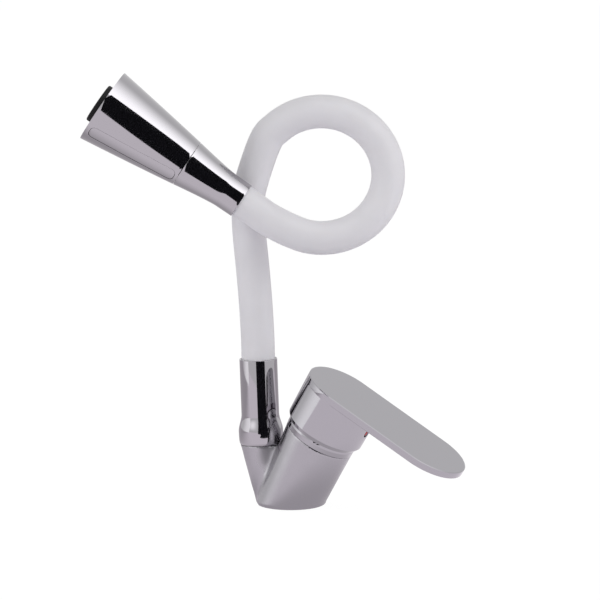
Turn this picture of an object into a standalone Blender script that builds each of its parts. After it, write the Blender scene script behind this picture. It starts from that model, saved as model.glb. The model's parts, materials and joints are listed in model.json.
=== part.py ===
"""Single-lever kitchen faucet with a posable hose spout and a two-way spray head.

Everything is in metres with +Z up. The origin is the centre of the base, on the deck.
+X points from the spout towards the tip of the lever. Three slanted frames carry the
pieces: the barrel with its cartridge and lever, the riser with the swivelling collar,
and the spray head at the far end of the hose.
"""
import math

import bmesh
import bpy
from mathutils import Matrix, Vector

# Clearances shared by all pieces
GAP = 0.0003
OVERRUN = 0.002
LOOSE = 0.0004
WELD = 0.000001
MERGE = 0.00001

# Body casting
BASE_RADIUS = 0.022
BASE_EDGE = 0.0020
RISER_ROOT_HEIGHT = 0.0011
RISER_ROOT_INSET = 0.0004
RISER_ROOT_LENGTH = 0.0100
RISER_ROOT_WIDTH = 0.0104
RISER_ROOT_SHARE = 0.667
BARREL_TILT = math.radians(30.0)
BARREL_FOOT_X = -0.0052
BARREL_RADIUS = 0.0223
BARREL_TOP = 0.0503
RISER_TILT = math.radians(-2.26)
RISER_X = -0.0201
RISER_HEIGHT = 0.0366
RISER_RADIUS = 0.0130

# Water ways and fixings in the casting
SEAT = 0.0255
BARREL_BORE = 0.0176
INLET_X = 0.0093
INLET_SPREAD = 0.0074
INLET_THREAD_RADIUS = 0.0046
INLET_THREAD_DEPTH = 0.0130
PORT_RADIUS = 0.0030
OUTLET_OFFSET = -0.0072
STUD_X = -0.0100
STUD_RADIUS = 0.0042
STUD_DEPTH = 0.0120
SPIGOT_BORE = 0.0075
SPIGOT_BORE_DEPTH = 0.0100
CROSS_DRILL_RADIUS = 0.0044
CROSS_DRILL_DEPTH = 0.0190
GASKET_RADIUS = 0.0186
GASKET_WIDTH = 0.0024
GASKET_HEIGHT = 0.0012

# Swivel spigot, its rings and the collar
FLANGE_RADIUS = 0.0116
FLANGE_HEIGHT = 0.0015
SPIGOT_RADIUS = 0.0090
SPIGOT_WATERWAY = 0.0050
GROOVE_RADIUS = 0.0072
GROOVE_WIDTH = 0.0024
O_RING_WIRE = 0.00075
CLIP_HEIGHT = 0.0012
CLIP_GROOVE_RADIUS = 0.0079
CLIP_RADIUS = 0.0100
CLIP_MOUTH = 0.0050
COLLAR_LENGTH = 0.0533
COLLAR_FOOT_RADIUS = 0.0130
COLLAR_BELLY_RADIUS = 0.0138
COLLAR_BELLY = 0.0080
COLLAR_NECK = 0.0186
COLLAR_NECK_RADIUS = 0.0117
COLLAR_EDGE = 0.0005

# Hose: silicone sleeve, posable steel core and drinking water tube
HOSE_RADIUS = 0.0104
SLEEVE_WALL = 0.0024
CORE_WALL = 0.0012
TUBE_WALL = 0.0015
HOSE_INSERT_SHARE = 0.3246
HOSE_INSERT = COLLAR_LENGTH * HOSE_INSERT_SHARE
HOSE_SIDES = 14
INSIDE_SIDES = 8
LOOP_RADIUS = 0.0403
LOOP_RISE = 0.0377
LOOP_ALONG = 0.0196
LOOP_HEIGHT = 0.2061
LOOP_TURN = math.radians(25.0)
LOOP_START = math.radians(152.0)
LOOP_END = math.radians(-118.0)
LOOP_STEP = math.radians(18.0)
LOOP_BACK_SHARE = 0.16
CROSSING_CLEARANCE = 0.0007
LEAN_HEIGHT = 0.0340
SPLIT_HEIGHT = 0.0570
POINT_SPACING = 0.0096
RISER_ROUTE_SHARES = (
    (0.13, -0.04, 0.00),
    (0.31, -0.16, 0.08),
    (0.49, -0.33, 0.20),
    (0.64, -0.50, 0.34),
    (0.77, -0.58, 0.46),
    (0.90, -0.52, 0.54),
)

# Ferrules pressed into the two ends of the hose
FERRULE_FLANGE = 0.0033
COLLAR_SHELF = COLLAR_LENGTH - HOSE_INSERT - LOOSE - FERRULE_FLANGE - GAP
LOWER_GROOVE_SHARE = 0.1813
UPPER_GROOVE_SHARE = 0.4
CLIP_SEAT_SHARE = 0.5656
SPIGOT_TOP_SHARE = 0.6875
CHAMBER_TOP_SHARE = 0.7375
LOWER_GROOVE = COLLAR_SHELF * LOWER_GROOVE_SHARE
UPPER_GROOVE = COLLAR_SHELF * UPPER_GROOVE_SHARE
CLIP_SEAT = COLLAR_SHELF * CLIP_SEAT_SHARE
SPIGOT_TOP = COLLAR_SHELF * SPIGOT_TOP_SHARE
COLLAR_CHAMBER_TOP = COLLAR_SHELF * CHAMBER_TOP_SHARE
FERRULE_FLANGE_RADIUS = 0.0099
FERRULE_TAIL_RADIUS = 0.0060
FERRULE_TAIL = 0.0070
FERRULE_BARB = 0.0140
FERRULE_BORE = 0.0030
HEAD_TAIL = 0.0097
HEAD_SEAL_OFFSET = 0.0030
HEAD_SEAL_WIDTH = 0.0022
HEAD_SEAL_DEPTH = 0.0014
HEAD_SEAL_WIRE = 0.0006
HEAD_CLIP_OFFSET = 0.0066
HEAD_CLIP_WIDTH = 0.0016
HEAD_CLIP_WIRE = 0.0010
HEAD_CLIP_REACH = 0.0009

# Spray head, measured along its own axis from the rear rim
HEAD_SLOPE = math.radians(34.0)
HEAD_BACK_SLOPE = math.radians(5.6)
HEAD_RUN = 0.0310
HEAD_LENGTH = 0.1034
REAR_COLLAR_LENGTH = 0.0404
REAR_RIM_RADIUS = 0.0113
REAR_NECK = 0.0120
REAR_NECK_RADIUS = 0.0114
NECK_POWER = 1.2
SEAM_RADIUS = 0.0153
MIDDLE = (REAR_COLLAR_LENGTH + HEAD_LENGTH) / 2
MIDDLE_RADIUS = 0.0199
FRONT_RADIUS = 0.0242
REAR_BORE_CLEARANCE = 0.00035
SHELL_WALL = 0.0018
SHELL_MOUTH = 0.0029
SHELL_MOUTH_WALL = 0.0016
WATERWAY_RADIUS = 0.0090
WATERWAY_FRONT_RADIUS = 0.0123
WATERWAY_STEP_SETBACK = 0.0049
WATERWAY_STEP = MIDDLE - WATERWAY_STEP_SETBACK
WATERWAY_PASSAGE = 0.0032
WATERWAY_SOCKET_END = 0.0294
WATERWAY_FLANGE = 0.0020
WATERWAY_FLANGE_SETBACK = 0.0062
WATERWAY_FLANGE_PLACE = HEAD_LENGTH - WATERWAY_FLANGE_SETBACK
WATERWAY_FLANGE_RADIUS = 0.0207
CHAMBER_RADIUS = 0.0096
CHAMBER_SETBACK = 0.0029
CHAMBER_START = MIDDLE - CHAMBER_SETBACK
SCREEN_THICKNESS = 0.0008
BEZEL_RECESS = 0.0005
FACE_RADIUS = 0.0127
FACE_PROUD = 0.0036
FACE_DEPTH = 0.0060
FACE_EDGE = 0.0010
NOZZLE_COUNT = 14
NOZZLE_CIRCLE = 0.0093
NOZZLE_RADIUS = 0.0007
AERATOR_RADIUS = 0.0058
AERATOR_WALL = 0.0010
AERATOR_DEPTH = 0.0084
AERATOR_LIP = 0.0010
MESH_THICKNESS = 0.0008

# Mode lever let into the shell, its pin and the diverter under it
STRIP_ANGLE = math.radians(39.0)
STRIP_WIDTH = 0.0087
STRIP_REAR_SETBACK = 0.0023
STRIP_FRONT_SETBACK = 0.0030
STRIP_START = REAR_COLLAR_LENGTH + STRIP_REAR_SETBACK
STRIP_END = HEAD_LENGTH - STRIP_FRONT_SETBACK
STRIP_THICKNESS = 0.0022
STRIP_CORNER = 0.0030
STRIP_PIVOT = MIDDLE
PIVOT_DEPTH = 0.0044
PIVOT_RADIUS_OUT = MIDDLE_RADIUS - PIVOT_DEPTH
LUG_WIDTH = 0.0028
LUG_LENGTH = 0.0036
LUG_FOOT_DEPTH = 0.0015
LUG_FOOT = PIVOT_RADIUS_OUT - LUG_FOOT_DEPTH
EAR_WIDTH = 0.0018
EAR_LENGTH = 0.0050
EAR_RISE = 0.0014
EAR_TOP = PIVOT_RADIUS_OUT + EAR_RISE
PIN_RADIUS = 0.0008
PLUNGER_SETBACK = 0.0073
PLUNGER_PLACE = STRIP_START + PLUNGER_SETBACK
PLUNGER_HEAD_RADIUS = 0.0024
PLUNGER_HEAD = 0.0016
PLUNGER_TOP = 0.0134
PLUNGER_STEM_RADIUS = 0.0015
PLUNGER_FOOT = 0.0010
POCKET_FLOOR = 0.0066
POCKET_SIDE = 0.0084
SPRING_WIRE = 0.0003
SPRING_RADIUS = 0.0021
SPRING_TURNS = 3.5
SPRING_STEPS = 10

# Cartridge, measured along the barrel from where its axis meets the deck
BASE_PLATE = 0.0271
BASE_PLATE_HEIGHT = 0.0050
CARTRIDGE_RADIUS = 0.0172
PORT_SEAL_HEIGHT = 0.0010
PORT_SEAL_WIDTH = 0.0014
PEG_RADIUS = 0.0016
PEG_ALONG = 0.0095
PEG_SPREAD = 0.0088
PEG_LENGTH = 0.0028
DISC_THICKNESS = 0.0030
FIXED_DISC_RADIUS = 0.0148
MOVING_DISC_RADIUS = 0.0102
MOVING_DISC_THICKNESS = 0.0026
MIXING_RADIUS = 0.0066
MIXING_DEPTH = 0.0014
CARRIER_RADIUS = 0.0105
CARRIER_TOP = 0.0432
HOUSING_BORE = 0.0152
HOUSING_SHELF = 0.0436
HOUSING_SHOULDER = 0.0455
HOUSING_NECK_RADIUS = 0.0126
HOUSING_NECK_BORE = 0.0110
HOUSING_LID = 0.0015
HOUSING_MOUTH = 0.0094
ROTOR_RADIUS = 0.0106
ROTOR_SHOULDER = 0.0546
HOUSING_TOP = ROTOR_SHOULDER + LOOSE + HOUSING_LID
ROTOR_NECK_RADIUS = 0.0090
ROTOR_TOP = 0.0580
ROTOR_SLOT_BACK = 0.0070
ROTOR_SLOT_FRONT = 0.0056
PIVOT_HEIGHT = 0.0505
STEM_SIDE = 0.0072
STEM_TOP = 0.0790
STEM_NECK_HALF = 0.0036
STEM_TAIL_RADIUS = 0.0014
BALL_RADIUS = 0.0020
BALL_DROP = 0.0079
STEM_PIN_RADIUS = 0.0015
STEM_PIN_HALF = 0.0098
PIN_CLEARANCE = 0.00035
NUT_RADIUS = 0.0172
NUT_BORE = 0.0130
NUT_HEIGHT = 0.0028
NUT_SLOT = 0.0026
NUT_SLOT_DEPTH = 0.0012

# Dome ring and lever: both are round about the pivot of the stem
DOME_RADIUS = 0.0227
DOME_BAND_RADIUS = 0.0224
DOME_BAND = 0.0028
DOME_TOP = 0.0590
DOME_BORE = 0.0132
DOME_WALL = 0.0018
DOME_SPIGOT_BORE = 0.0142
DOME_SPIGOT = 0.0014
LEVER_CAVITY_RADIUS = 0.0228
LEVER_LIP = 0.0549
LEVER_LIP_RADIUS = 0.0234
LEVER_RADIUS = 0.0249
LEVER_CHAMFER_TOP = 0.0578
LEVER_CEILING = 0.0805
BOSS_BOTTOM = 0.0660
BOSS_RADIUS = 0.0095
SOCKET_TOP = 0.0793
PLATE_TOP = 0.0862
PLATE_THICKNESS = 0.0044
PLATE_EDGE = 0.0010
PLATE_END_RADIUS = 0.0254
PLATE_REACH = 0.0640
GRUB_HEIGHT = 0.0709
GRUB_RADIUS = 0.0021
GRUB_LENGTH = 0.0050
GRUB_KEY_RADIUS = 0.0011
GRUB_KEY_DEPTH = 0.0015
PLUG_RADIUS = 0.0029
PLUG_LENGTH = 0.0018
PLUG_RECESS = 0.0003
PLUG_POCKET = 0.0010
PLUG_WALL = 0.0007

ROUND = 30
MEDIUM = 18
SMALL = 12
FINE = 8

MATERIALS = {
    "chrome": ((0.72, 0.71, 0.74), 0.08, 1.0),
    "brass": ((0.72, 0.55, 0.28), 0.3, 1.0),
    "steel": ((0.55, 0.56, 0.58), 0.3, 1.0),
    "silicone": ((0.86, 0.86, 0.89), 0.5, 0.0),
    "rubber": ((0.03, 0.03, 0.03), 0.7, 0.0),
    "ceramic": ((0.85, 0.84, 0.80), 0.2, 0.0),
    "grey_plastic": ((0.32, 0.33, 0.35), 0.5, 0.0),
    "white_plastic": ((0.80, 0.80, 0.78), 0.4, 0.0),
    "black_plastic": ((0.02, 0.02, 0.022), 0.35, 0.0),
    "red_plastic": ((0.60, 0.03, 0.04), 0.3, 0.0),
    "blue_plastic": ((0.03, 0.10, 0.55), 0.3, 0.0),
}


def clear_scene():
    for old in list(bpy.data.objects):
        bpy.data.objects.remove(old, do_unlink=True)


def make_collection(name):
    group = bpy.data.collections.new(name)
    bpy.context.scene.collection.children.link(group)
    return group


def make_material(name):
    colour, roughness, metallic = MATERIALS[name]
    material = bpy.data.materials.new(name)
    material.use_nodes = True
    shader = material.node_tree.nodes["Principled BSDF"]
    shader.inputs["Base Color"].default_value = (*colour, 1.0)
    shader.inputs["Roughness"].default_value = roughness
    shader.inputs["Metallic"].default_value = metallic
    return material


clear_scene()
PARTS = make_collection("kitchen_faucet")
CUTTERS = make_collection("cutters")
FINISHES = {name: make_material(name) for name in MATERIALS}


def place(name, mesh, frame, finish=None):
    """Link a mesh as a part, or as a hidden cutter when it has no finish."""
    item = bpy.data.objects.new(name, mesh)
    item.matrix_world = frame
    if finish is None:
        CUTTERS.objects.link(item)
        item.hide_render = True
        item.display_type = "WIRE"
    else:
        PARTS.objects.link(item)
        mesh.materials.append(FINISHES[finish])
    return item


def shift(x=0.0, y=0.0, z=0.0):
    return Matrix.Translation((x, y, z))


def turned(name, profile, frame, finish=None, segments=ROUND):
    """Turn a profile of (radius, height) points about the frame's Z axis.

    The outer side runs from top to bottom. A profile that starts and ends on the
    axis makes a solid, and any other profile is closed into a ring.
    """
    mesh = bpy.data.meshes.new(name)
    count = len(profile)
    solid = profile[0][0] == 0.0 and profile[-1][0] == 0.0
    edges = [(i, i + 1) for i in range(count - 1)]
    if not solid:
        edges.append((count - 1, 0))
    mesh.from_pydata([(radius, 0.0, height) for radius, height in profile], edges, [])
    item = place(name, mesh, frame, finish)
    screw = item.modifiers.new("turn", "SCREW")
    screw.axis = "Z"
    screw.angle = math.tau
    screw.steps = segments
    screw.render_steps = segments
    screw.use_merge_vertices = True
    screw.merge_threshold = MERGE
    screw.use_smooth_shade = True
    return item


def rod(name, radius, bottom, top, frame, finish=None, segments=SMALL):
    return turned(name, [(0.0, top), (radius, top), (radius, bottom), (0.0, bottom)],
                  frame, finish, segments)


def ring(name, inner, outer, bottom, top, frame, finish=None, segments=MEDIUM):
    profile = [(outer, top), (outer, bottom), (inner, bottom), (inner, top)]
    return turned(name, profile, frame, finish, segments)


def box(name, low, high, frame, finish=None):
    mesh = bpy.data.meshes.new(name)
    work = bmesh.new()
    bmesh.ops.create_cube(work, size=1.0)
    size = [b - a for a, b in zip(low, high)]
    middle = [(a + b) / 2 for a, b in zip(low, high)]
    bmesh.ops.scale(work, vec=size, verts=work.verts)
    bmesh.ops.translate(work, vec=middle, verts=work.verts)
    work.to_mesh(mesh)
    work.free()
    return place(name, mesh, frame, finish)


def outline(name, points, bottom, top, frame, finish=None):
    """Extrude a flat outline of (x, y) points from one height to another."""
    curve = bpy.data.curves.new(name, "CURVE")
    curve.dimensions = "2D"
    curve.fill_mode = "BOTH"
    curve.extrude = (top - bottom) / 2
    spline = curve.splines.new("POLY")
    spline.points.add(len(points) - 1)
    for point, (x, y) in zip(spline.points, points):
        point.co = (x, y, 0.0, 1.0)
    spline.use_cyclic_u = True
    guide = bpy.data.objects.new(name + "_guide", curve)
    CUTTERS.objects.link(guide)
    mesh = curve_mesh(guide)
    mesh.transform(shift(z=(top + bottom) / 2))
    return place(name, mesh, frame, finish)


def curve_mesh(guide):
    """Make a closed, welded mesh of a curve object and remove the curve."""
    bpy.context.view_layer.update()
    view = bpy.context.evaluated_depsgraph_get()
    mesh = bpy.data.meshes.new_from_object(guide.evaluated_get(view))
    bpy.data.objects.remove(guide, do_unlink=True)
    work = bmesh.new()
    work.from_mesh(mesh)
    bmesh.ops.remove_doubles(work, verts=work.verts, dist=WELD)
    bmesh.ops.recalc_face_normals(work, faces=work.faces)
    work.to_mesh(mesh)
    work.free()
    mesh.materials.clear()
    return mesh


def path_mesh(name, points, radius, sides, capped):
    curve = bpy.data.curves.new(name, "CURVE")
    curve.dimensions = "3D"
    curve.bevel_depth = radius
    curve.bevel_resolution = (sides - 4) // 2
    curve.use_fill_caps = capped
    spline = curve.splines.new("POLY")
    spline.points.add(len(points) - 1)
    for point, place_on_path in zip(spline.points, points):
        point.co = (*place_on_path, 1.0)
    guide = bpy.data.objects.new(name + "_guide", curve)
    CUTTERS.objects.link(guide)
    return curve_mesh(guide)


def pipe(name, points, radius, wall, sides, finish):
    """A bent pipe: a surface swept along the points, given its wall inwards."""
    mesh = path_mesh(name, points, radius, sides, False)
    first = Vector(points[0])
    work = bmesh.new()
    work.from_mesh(mesh)
    work.faces.ensure_lookup_table()
    near = min(work.faces, key=lambda face: (face.calc_center_median() - first).length)
    if near.normal.dot(near.calc_center_median() - first) < 0.0:
        bmesh.ops.reverse_faces(work, faces=work.faces)
    work.to_mesh(mesh)
    work.free()
    item = place(name, mesh, Matrix.Identity(4), finish)
    skin = item.modifiers.new("wall", "SOLIDIFY")
    skin.thickness = wall
    skin.offset = -1.0
    skin.use_even_offset = True
    return item


def combine(item, others, operation):
    for other in others:
        step = item.modifiers.new(other.name, "BOOLEAN")
        step.operation = operation
        step.object = other
        step.solver = "EXACT"
    return item


def cut(item, *cutters):
    return combine(item, cutters, "DIFFERENCE")


def join(item, *others):
    return combine(item, others, "UNION")


def soften(item, width, segments, angle=math.radians(40.0)):
    bevel = item.modifiers.new("edge", "BEVEL")
    bevel.width = width
    bevel.segments = segments
    bevel.limit_method = "ANGLE"
    bevel.angle_limit = angle
    return item


def stadium(reach, radius, steps, start=0.0):
    """Outline of a bar with round ends, from its first end's centre to its second."""
    points = []
    for i in range(steps + 1):
        turn = math.pi * (i / steps - 0.5)
        points.append((reach + radius * math.cos(turn), radius * math.sin(turn)))
    for i in range(steps + 1):
        turn = math.pi * (i / steps + 0.5)
        points.append((start + radius * math.cos(turn), radius * math.sin(turn)))
    return points


def rounded_bar(start, end, half_width, corner, steps=4):
    """Rounded rectangle, long in x, as (x, y) points."""
    points = []
    corners = ((end - corner, half_width - corner, 0.0),
               (start + corner, half_width - corner, 0.5),
               (start + corner, corner - half_width, 1.0),
               (end - corner, corner - half_width, 1.5))
    for x, y, quarter in corners:
        for i in range(steps + 1):
            turn = math.pi * (quarter + i / (2 * steps))
            points.append((x + corner * math.cos(turn), y + corner * math.sin(turn)))
    return points


# Frames of the barrel and the riser
BARREL = shift(x=BARREL_FOOT_X) @ Matrix.Rotation(BARREL_TILT, 4, "Y")
RISER = shift(x=RISER_X, z=RISER_HEIGHT) @ Matrix.Rotation(RISER_TILT, 4, "Y")
PIVOT = BARREL @ shift(z=PIVOT_HEIGHT)
# Turns a frame so that its Z axis points along the carrying frame's X or Y axis
FACING_X = Matrix.Rotation(math.pi / 2, 4, "Y")
FACING_Y = Matrix.Rotation(-math.pi / 2, 4, "X")


def circle_points(frame, radius, height, steps=ROUND):
    turns = [math.tau * i / steps for i in range(steps)]
    return [frame @ Vector((radius * math.cos(t), radius * math.sin(t), height)) for t in turns]


def squared_points(frame, length, width, share, height, steps=ROUND):
    """Ring between an oval and a rectangle: a share of 1 gives the oval."""
    points = []
    for i in range(steps):
        along = math.cos(math.tau * i / steps)
        across = math.sin(math.tau * i / steps)
        points.append(frame @ Vector((length * math.copysign(abs(along) ** share, along),
                                      width * math.copysign(abs(across) ** share, across),
                                      height)))
    return points


def loft(name, sections, finish=None):
    """Skin a stack of rings with the same number of points, lowest ring first."""
    mesh = bpy.data.meshes.new(name)
    work = bmesh.new()
    rings = [[work.verts.new(point) for point in section] for section in sections]
    for low, high in zip(rings, rings[1:]):
        for i in range(len(low)):
            j = (i + 1) % len(low)
            work.faces.new((low[i], low[j], high[j], high[i]))
    work.faces.new(list(reversed(rings[0])))
    work.faces.new(rings[-1])
    work.to_mesh(mesh)
    work.free()
    return place(name, mesh, Matrix.Identity(4), finish)


def body_casting():
    """Two branches on one round foot: the slanted barrel and the upright riser."""
    upright = Matrix.Identity(4)
    foot = []
    for i in range(4):
        turn = math.pi / 2 * i / 3
        inset = BASE_EDGE * (1.0 - math.sin(turn))
        foot.append(circle_points(upright, BASE_RADIUS - inset, BASE_EDGE * (1.0 - math.cos(turn))))
    barrel_top = circle_points(BARREL, BARREL_RADIUS, BARREL_TOP)
    casting = loft("body_casting", foot + [barrel_top], "chrome")
    root = squared_points(shift(x=RISER_ROOT_LENGTH + RISER_ROOT_INSET - BASE_RADIUS),
                          RISER_ROOT_LENGTH, RISER_ROOT_WIDTH, RISER_ROOT_SHARE,
                          RISER_ROOT_HEIGHT)
    riser = loft("riser_branch", [root, circle_points(RISER, RISER_RADIUS, 0.0)])
    join(casting, riser)

    seat = rod("barrel_bore", BARREL_BORE, SEAT, BARREL_TOP + OVERRUN, BARREL, None, MEDIUM)
    spigot = rod("spigot_bore", SPIGOT_BORE, -SPIGOT_BORE_DEPTH, OVERRUN, RISER)
    drill = rod("cross_drill", CROSS_DRILL_RADIUS, -CROSS_DRILL_DEPTH, OVERRUN - SPIGOT_BORE_DEPTH,
                RISER)
    cut(casting, seat, spigot, drill)
    for name, side in (("hot", 1.0), ("cold", -1.0)):
        at = shift(x=INLET_X, y=side * INLET_SPREAD)
        thread = rod(name + "_thread", INLET_THREAD_RADIUS, -OVERRUN, INLET_THREAD_DEPTH, at)
        way = rod(name + "_way", PORT_RADIUS, INLET_THREAD_DEPTH - OVERRUN, SEAT + OVERRUN, at)
        peg = rod(name + "_peg_hole", PEG_RADIUS + GAP, SEAT - PEG_LENGTH, SEAT + OVERRUN,
                  BARREL @ shift(PEG_ALONG, side * PEG_SPREAD), None, FINE)
        cut(casting, thread, way, peg)
    start = BARREL @ Vector((OUTLET_OFFSET, 0.0, SEAT))
    end = RISER @ Vector((0.0, 0.0, PORT_RADIUS - CROSS_DRILL_DEPTH))
    run = end - start
    slant = shift(*start) @ run.to_track_quat("Z", "Y").to_matrix().to_4x4()
    outlet = rod("outlet_way", PORT_RADIUS, -OVERRUN, run.length, slant, None, FINE)
    stud = rod("stud_hole", STUD_RADIUS, -OVERRUN, STUD_DEPTH, shift(x=STUD_X))
    groove = ring("gasket_groove", GASKET_RADIUS - GASKET_WIDTH / 2 - GAP,
                  GASKET_RADIUS + GASKET_WIDTH / 2 + GAP, -OVERRUN, GASKET_HEIGHT + GAP, upright)
    cut(casting, outlet, stud, groove)
    ring("deck_gasket", GASKET_RADIUS - GASKET_WIDTH / 2, GASKET_RADIUS + GASKET_WIDTH / 2,
         0.0, GASKET_HEIGHT, upright, "rubber")


def swivel():
    """Spigot screwed into the riser, with two O-rings and the clip that holds the collar."""
    wall = SPIGOT_BORE - GAP
    flange_top = GAP + FLANGE_HEIGHT
    profile = [(SPIGOT_RADIUS, SPIGOT_TOP)]
    grooves = ((CLIP_SEAT, CLIP_HEIGHT + 2 * GAP, CLIP_GROOVE_RADIUS),
               (UPPER_GROOVE, GROOVE_WIDTH, GROOVE_RADIUS),
               (LOWER_GROOVE, GROOVE_WIDTH, GROOVE_RADIUS))
    for bottom, width, radius in grooves:
        profile += [(SPIGOT_RADIUS, bottom + width), (radius, bottom + width),
                    (radius, bottom), (SPIGOT_RADIUS, bottom)]
    profile += [(SPIGOT_RADIUS, flange_top), (FLANGE_RADIUS, flange_top), (FLANGE_RADIUS, GAP),
                (wall, GAP), (wall, GAP - SPIGOT_BORE_DEPTH),
                (SPIGOT_WATERWAY, GAP - SPIGOT_BORE_DEPTH), (SPIGOT_WATERWAY, SPIGOT_TOP)]
    turned("swivel_spigot", profile, RISER, "brass", MEDIUM)
    for name, bottom in (("swivel_o_ring_lower", LOWER_GROOVE), ("swivel_o_ring_upper", UPPER_GROOVE)):
        middle = SPIGOT_RADIUS - O_RING_WIRE + GAP / 3
        torus(name, middle, O_RING_WIRE, bottom + GROOVE_WIDTH / 2, RISER, "rubber")
    clip = ring("swivel_clip", CLIP_GROOVE_RADIUS + GAP, CLIP_RADIUS, CLIP_SEAT + GAP,
                CLIP_SEAT + GAP + CLIP_HEIGHT, RISER, "steel", MEDIUM)
    mouth = box("clip_mouth", (0.0, -CLIP_MOUTH / 2, CLIP_SEAT - OVERRUN),
                (CLIP_RADIUS + OVERRUN, CLIP_MOUTH / 2, CLIP_SEAT + CLIP_HEIGHT + OVERRUN), RISER)
    cut(clip, mouth)


def torus(name, radius, wire, height, frame, finish, segments=MEDIUM, sides=6):
    profile = []
    for i in range(sides):
        turn = -math.tau * i / sides
        profile.append((radius + wire * math.cos(turn), height + wire * math.sin(turn)))
    return turned(name, profile, frame, finish, segments)


def spout_collar():
    """Bell-shaped chrome collar: it turns on the spigot and takes the hose in its top."""
    bell = []
    steps = 6
    for i in range(steps + 1):
        share = i / steps
        ease = share * share * (3.0 - 2.0 * share)
        radius = COLLAR_NECK_RADIUS + (COLLAR_BELLY_RADIUS - COLLAR_NECK_RADIUS) * ease
        bell.append((radius, COLLAR_NECK + (COLLAR_BELLY - COLLAR_NECK) * share))
    hose_bore = HOSE_RADIUS + GAP
    spigot_bore = SPIGOT_RADIUS + LOOSE
    flange_bore = FLANGE_RADIUS + GAP
    flange_top = FLANGE_HEIGHT + 2 * GAP
    foot = [(COLLAR_BELLY_RADIUS, COLLAR_BELLY / 2),
            ((COLLAR_BELLY_RADIUS + COLLAR_FOOT_RADIUS) / 2, COLLAR_BELLY / 6),
            (COLLAR_FOOT_RADIUS, GAP)]
    profile = ([(COLLAR_NECK_RADIUS - COLLAR_EDGE, COLLAR_LENGTH),
                (COLLAR_NECK_RADIUS, COLLAR_LENGTH - COLLAR_EDGE)] + bell + foot
               + [(flange_bore, GAP), (flange_bore, flange_top), (spigot_bore, flange_top),
                  (spigot_bore, CLIP_SEAT), (CLIP_RADIUS + LOOSE, CLIP_SEAT),
                  (CLIP_RADIUS + LOOSE, COLLAR_CHAMBER_TOP),
                  (FERRULE_TAIL_RADIUS + GAP, COLLAR_CHAMBER_TOP),
                  (FERRULE_TAIL_RADIUS + GAP, COLLAR_SHELF), (hose_bore, COLLAR_SHELF),
                  (hose_bore, COLLAR_LENGTH)])
    turned("spout_collar", profile, RISER, "chrome", ROUND)


def hose_frame():
    """Plane of the loop: X along it, Y up and Z towards the front."""
    along = Vector((math.cos(LOOP_TURN), math.sin(LOOP_TURN), 0.0))
    front = Vector((math.sin(LOOP_TURN), -math.cos(LOOP_TURN), 0.0))
    return Matrix((along, (0.0, 0.0, 1.0), front)).transposed().to_4x4()


def hose_route():
    """Route of the hose, from inside the collar to inside the spray head.

    Returns the points, the rear centre of the head and the head's direction.
    """
    plane = hose_frame()
    inward = plane.inverted()
    start = RISER @ Vector((0.0, 0.0, COLLAR_LENGTH - HOSE_INSERT))
    middle = RISER @ Vector((0.0, 0.0, COLLAR_LENGTH - HOSE_INSERT / 2))
    top = RISER @ Vector((0.0, 0.0, COLLAR_LENGTH))
    foot = inward @ top
    back = foot.z - LOOP_BACK_SHARE * LOOP_RADIUS
    front = (back + HOSE_RADIUS + REAR_RIM_RADIUS + CROSSING_CLEARANCE
             + HEAD_RUN * math.sin(HEAD_BACK_SLOPE))
    points = [start, middle, top]
    for rise, side, depth in RISER_ROUTE_SHARES:
        points.append(plane @ Vector((foot.x + side * HOSE_RADIUS,
                                      foot.y + rise * (LOOP_HEIGHT - foot.y),
                                      foot.z + depth * (back - foot.z) / RISER_ROUTE_SHARES[-1][2])))
    turn = LOOP_START
    while turn > LOOP_END:
        share = (LOOP_START - turn) / (LOOP_START - LOOP_END)
        ease = share * share * (3.0 - 2.0 * share)
        points.append(plane @ Vector((LOOP_ALONG + LOOP_RADIUS * math.cos(turn),
                                      LOOP_HEIGHT + LOOP_RISE * math.sin(turn),
                                      back + (front - back) * ease)))
        turn -= LOOP_STEP
    flat = math.cos(HEAD_BACK_SLOPE)
    direction = plane.to_3x3() @ Vector((-math.cos(HEAD_SLOPE) * flat, math.sin(HEAD_SLOPE) * flat,
                                         -math.sin(HEAD_BACK_SLOPE)))
    leave = LOOP_END - LOOP_STEP / 2
    last = plane @ Vector((LOOP_ALONG + LOOP_RADIUS * math.cos(leave),
                           LOOP_HEIGHT + LOOP_RADIUS * math.sin(leave), front))
    rear = last + direction * HEAD_RUN
    points += [last + direction * HEAD_RUN / 3, last + direction * HEAD_RUN * 2 / 3, rear,
               rear + direction * FERRULE_BARB]
    return points, rear, direction


def smooth_path(points, spacing):
    """Even points on a smooth curve through the given ones."""
    ends = [2 * points[0] - points[1]] + list(points) + [2 * points[-1] - points[-2]]
    fine = []
    for a, b, c, d in zip(ends, ends[1:], ends[2:], ends[3:]):
        for i in range(12):
            t = i / 12
            fine.append(0.5 * ((2 * b) + (c - a) * t + (2 * a - 5 * b + 4 * c - d) * t * t
                               + (3 * b - a - 3 * c + d) * t ** 3))
    fine.append(points[-1])
    lengths = [0.0]
    for a, b in zip(fine, fine[1:]):
        lengths.append(lengths[-1] + (b - a).length)
    count = max(2, round(lengths[-1] / spacing))
    even = []
    j = 0
    for i in range(count + 1):
        target = lengths[-1] * i / count
        while j < len(fine) - 2 and lengths[j + 1] < target:
            j += 1
        span = lengths[j + 1] - lengths[j]
        even.append(fine[j].lerp(fine[j + 1], (target - lengths[j]) / span if span else 0.0))
    return even


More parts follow.
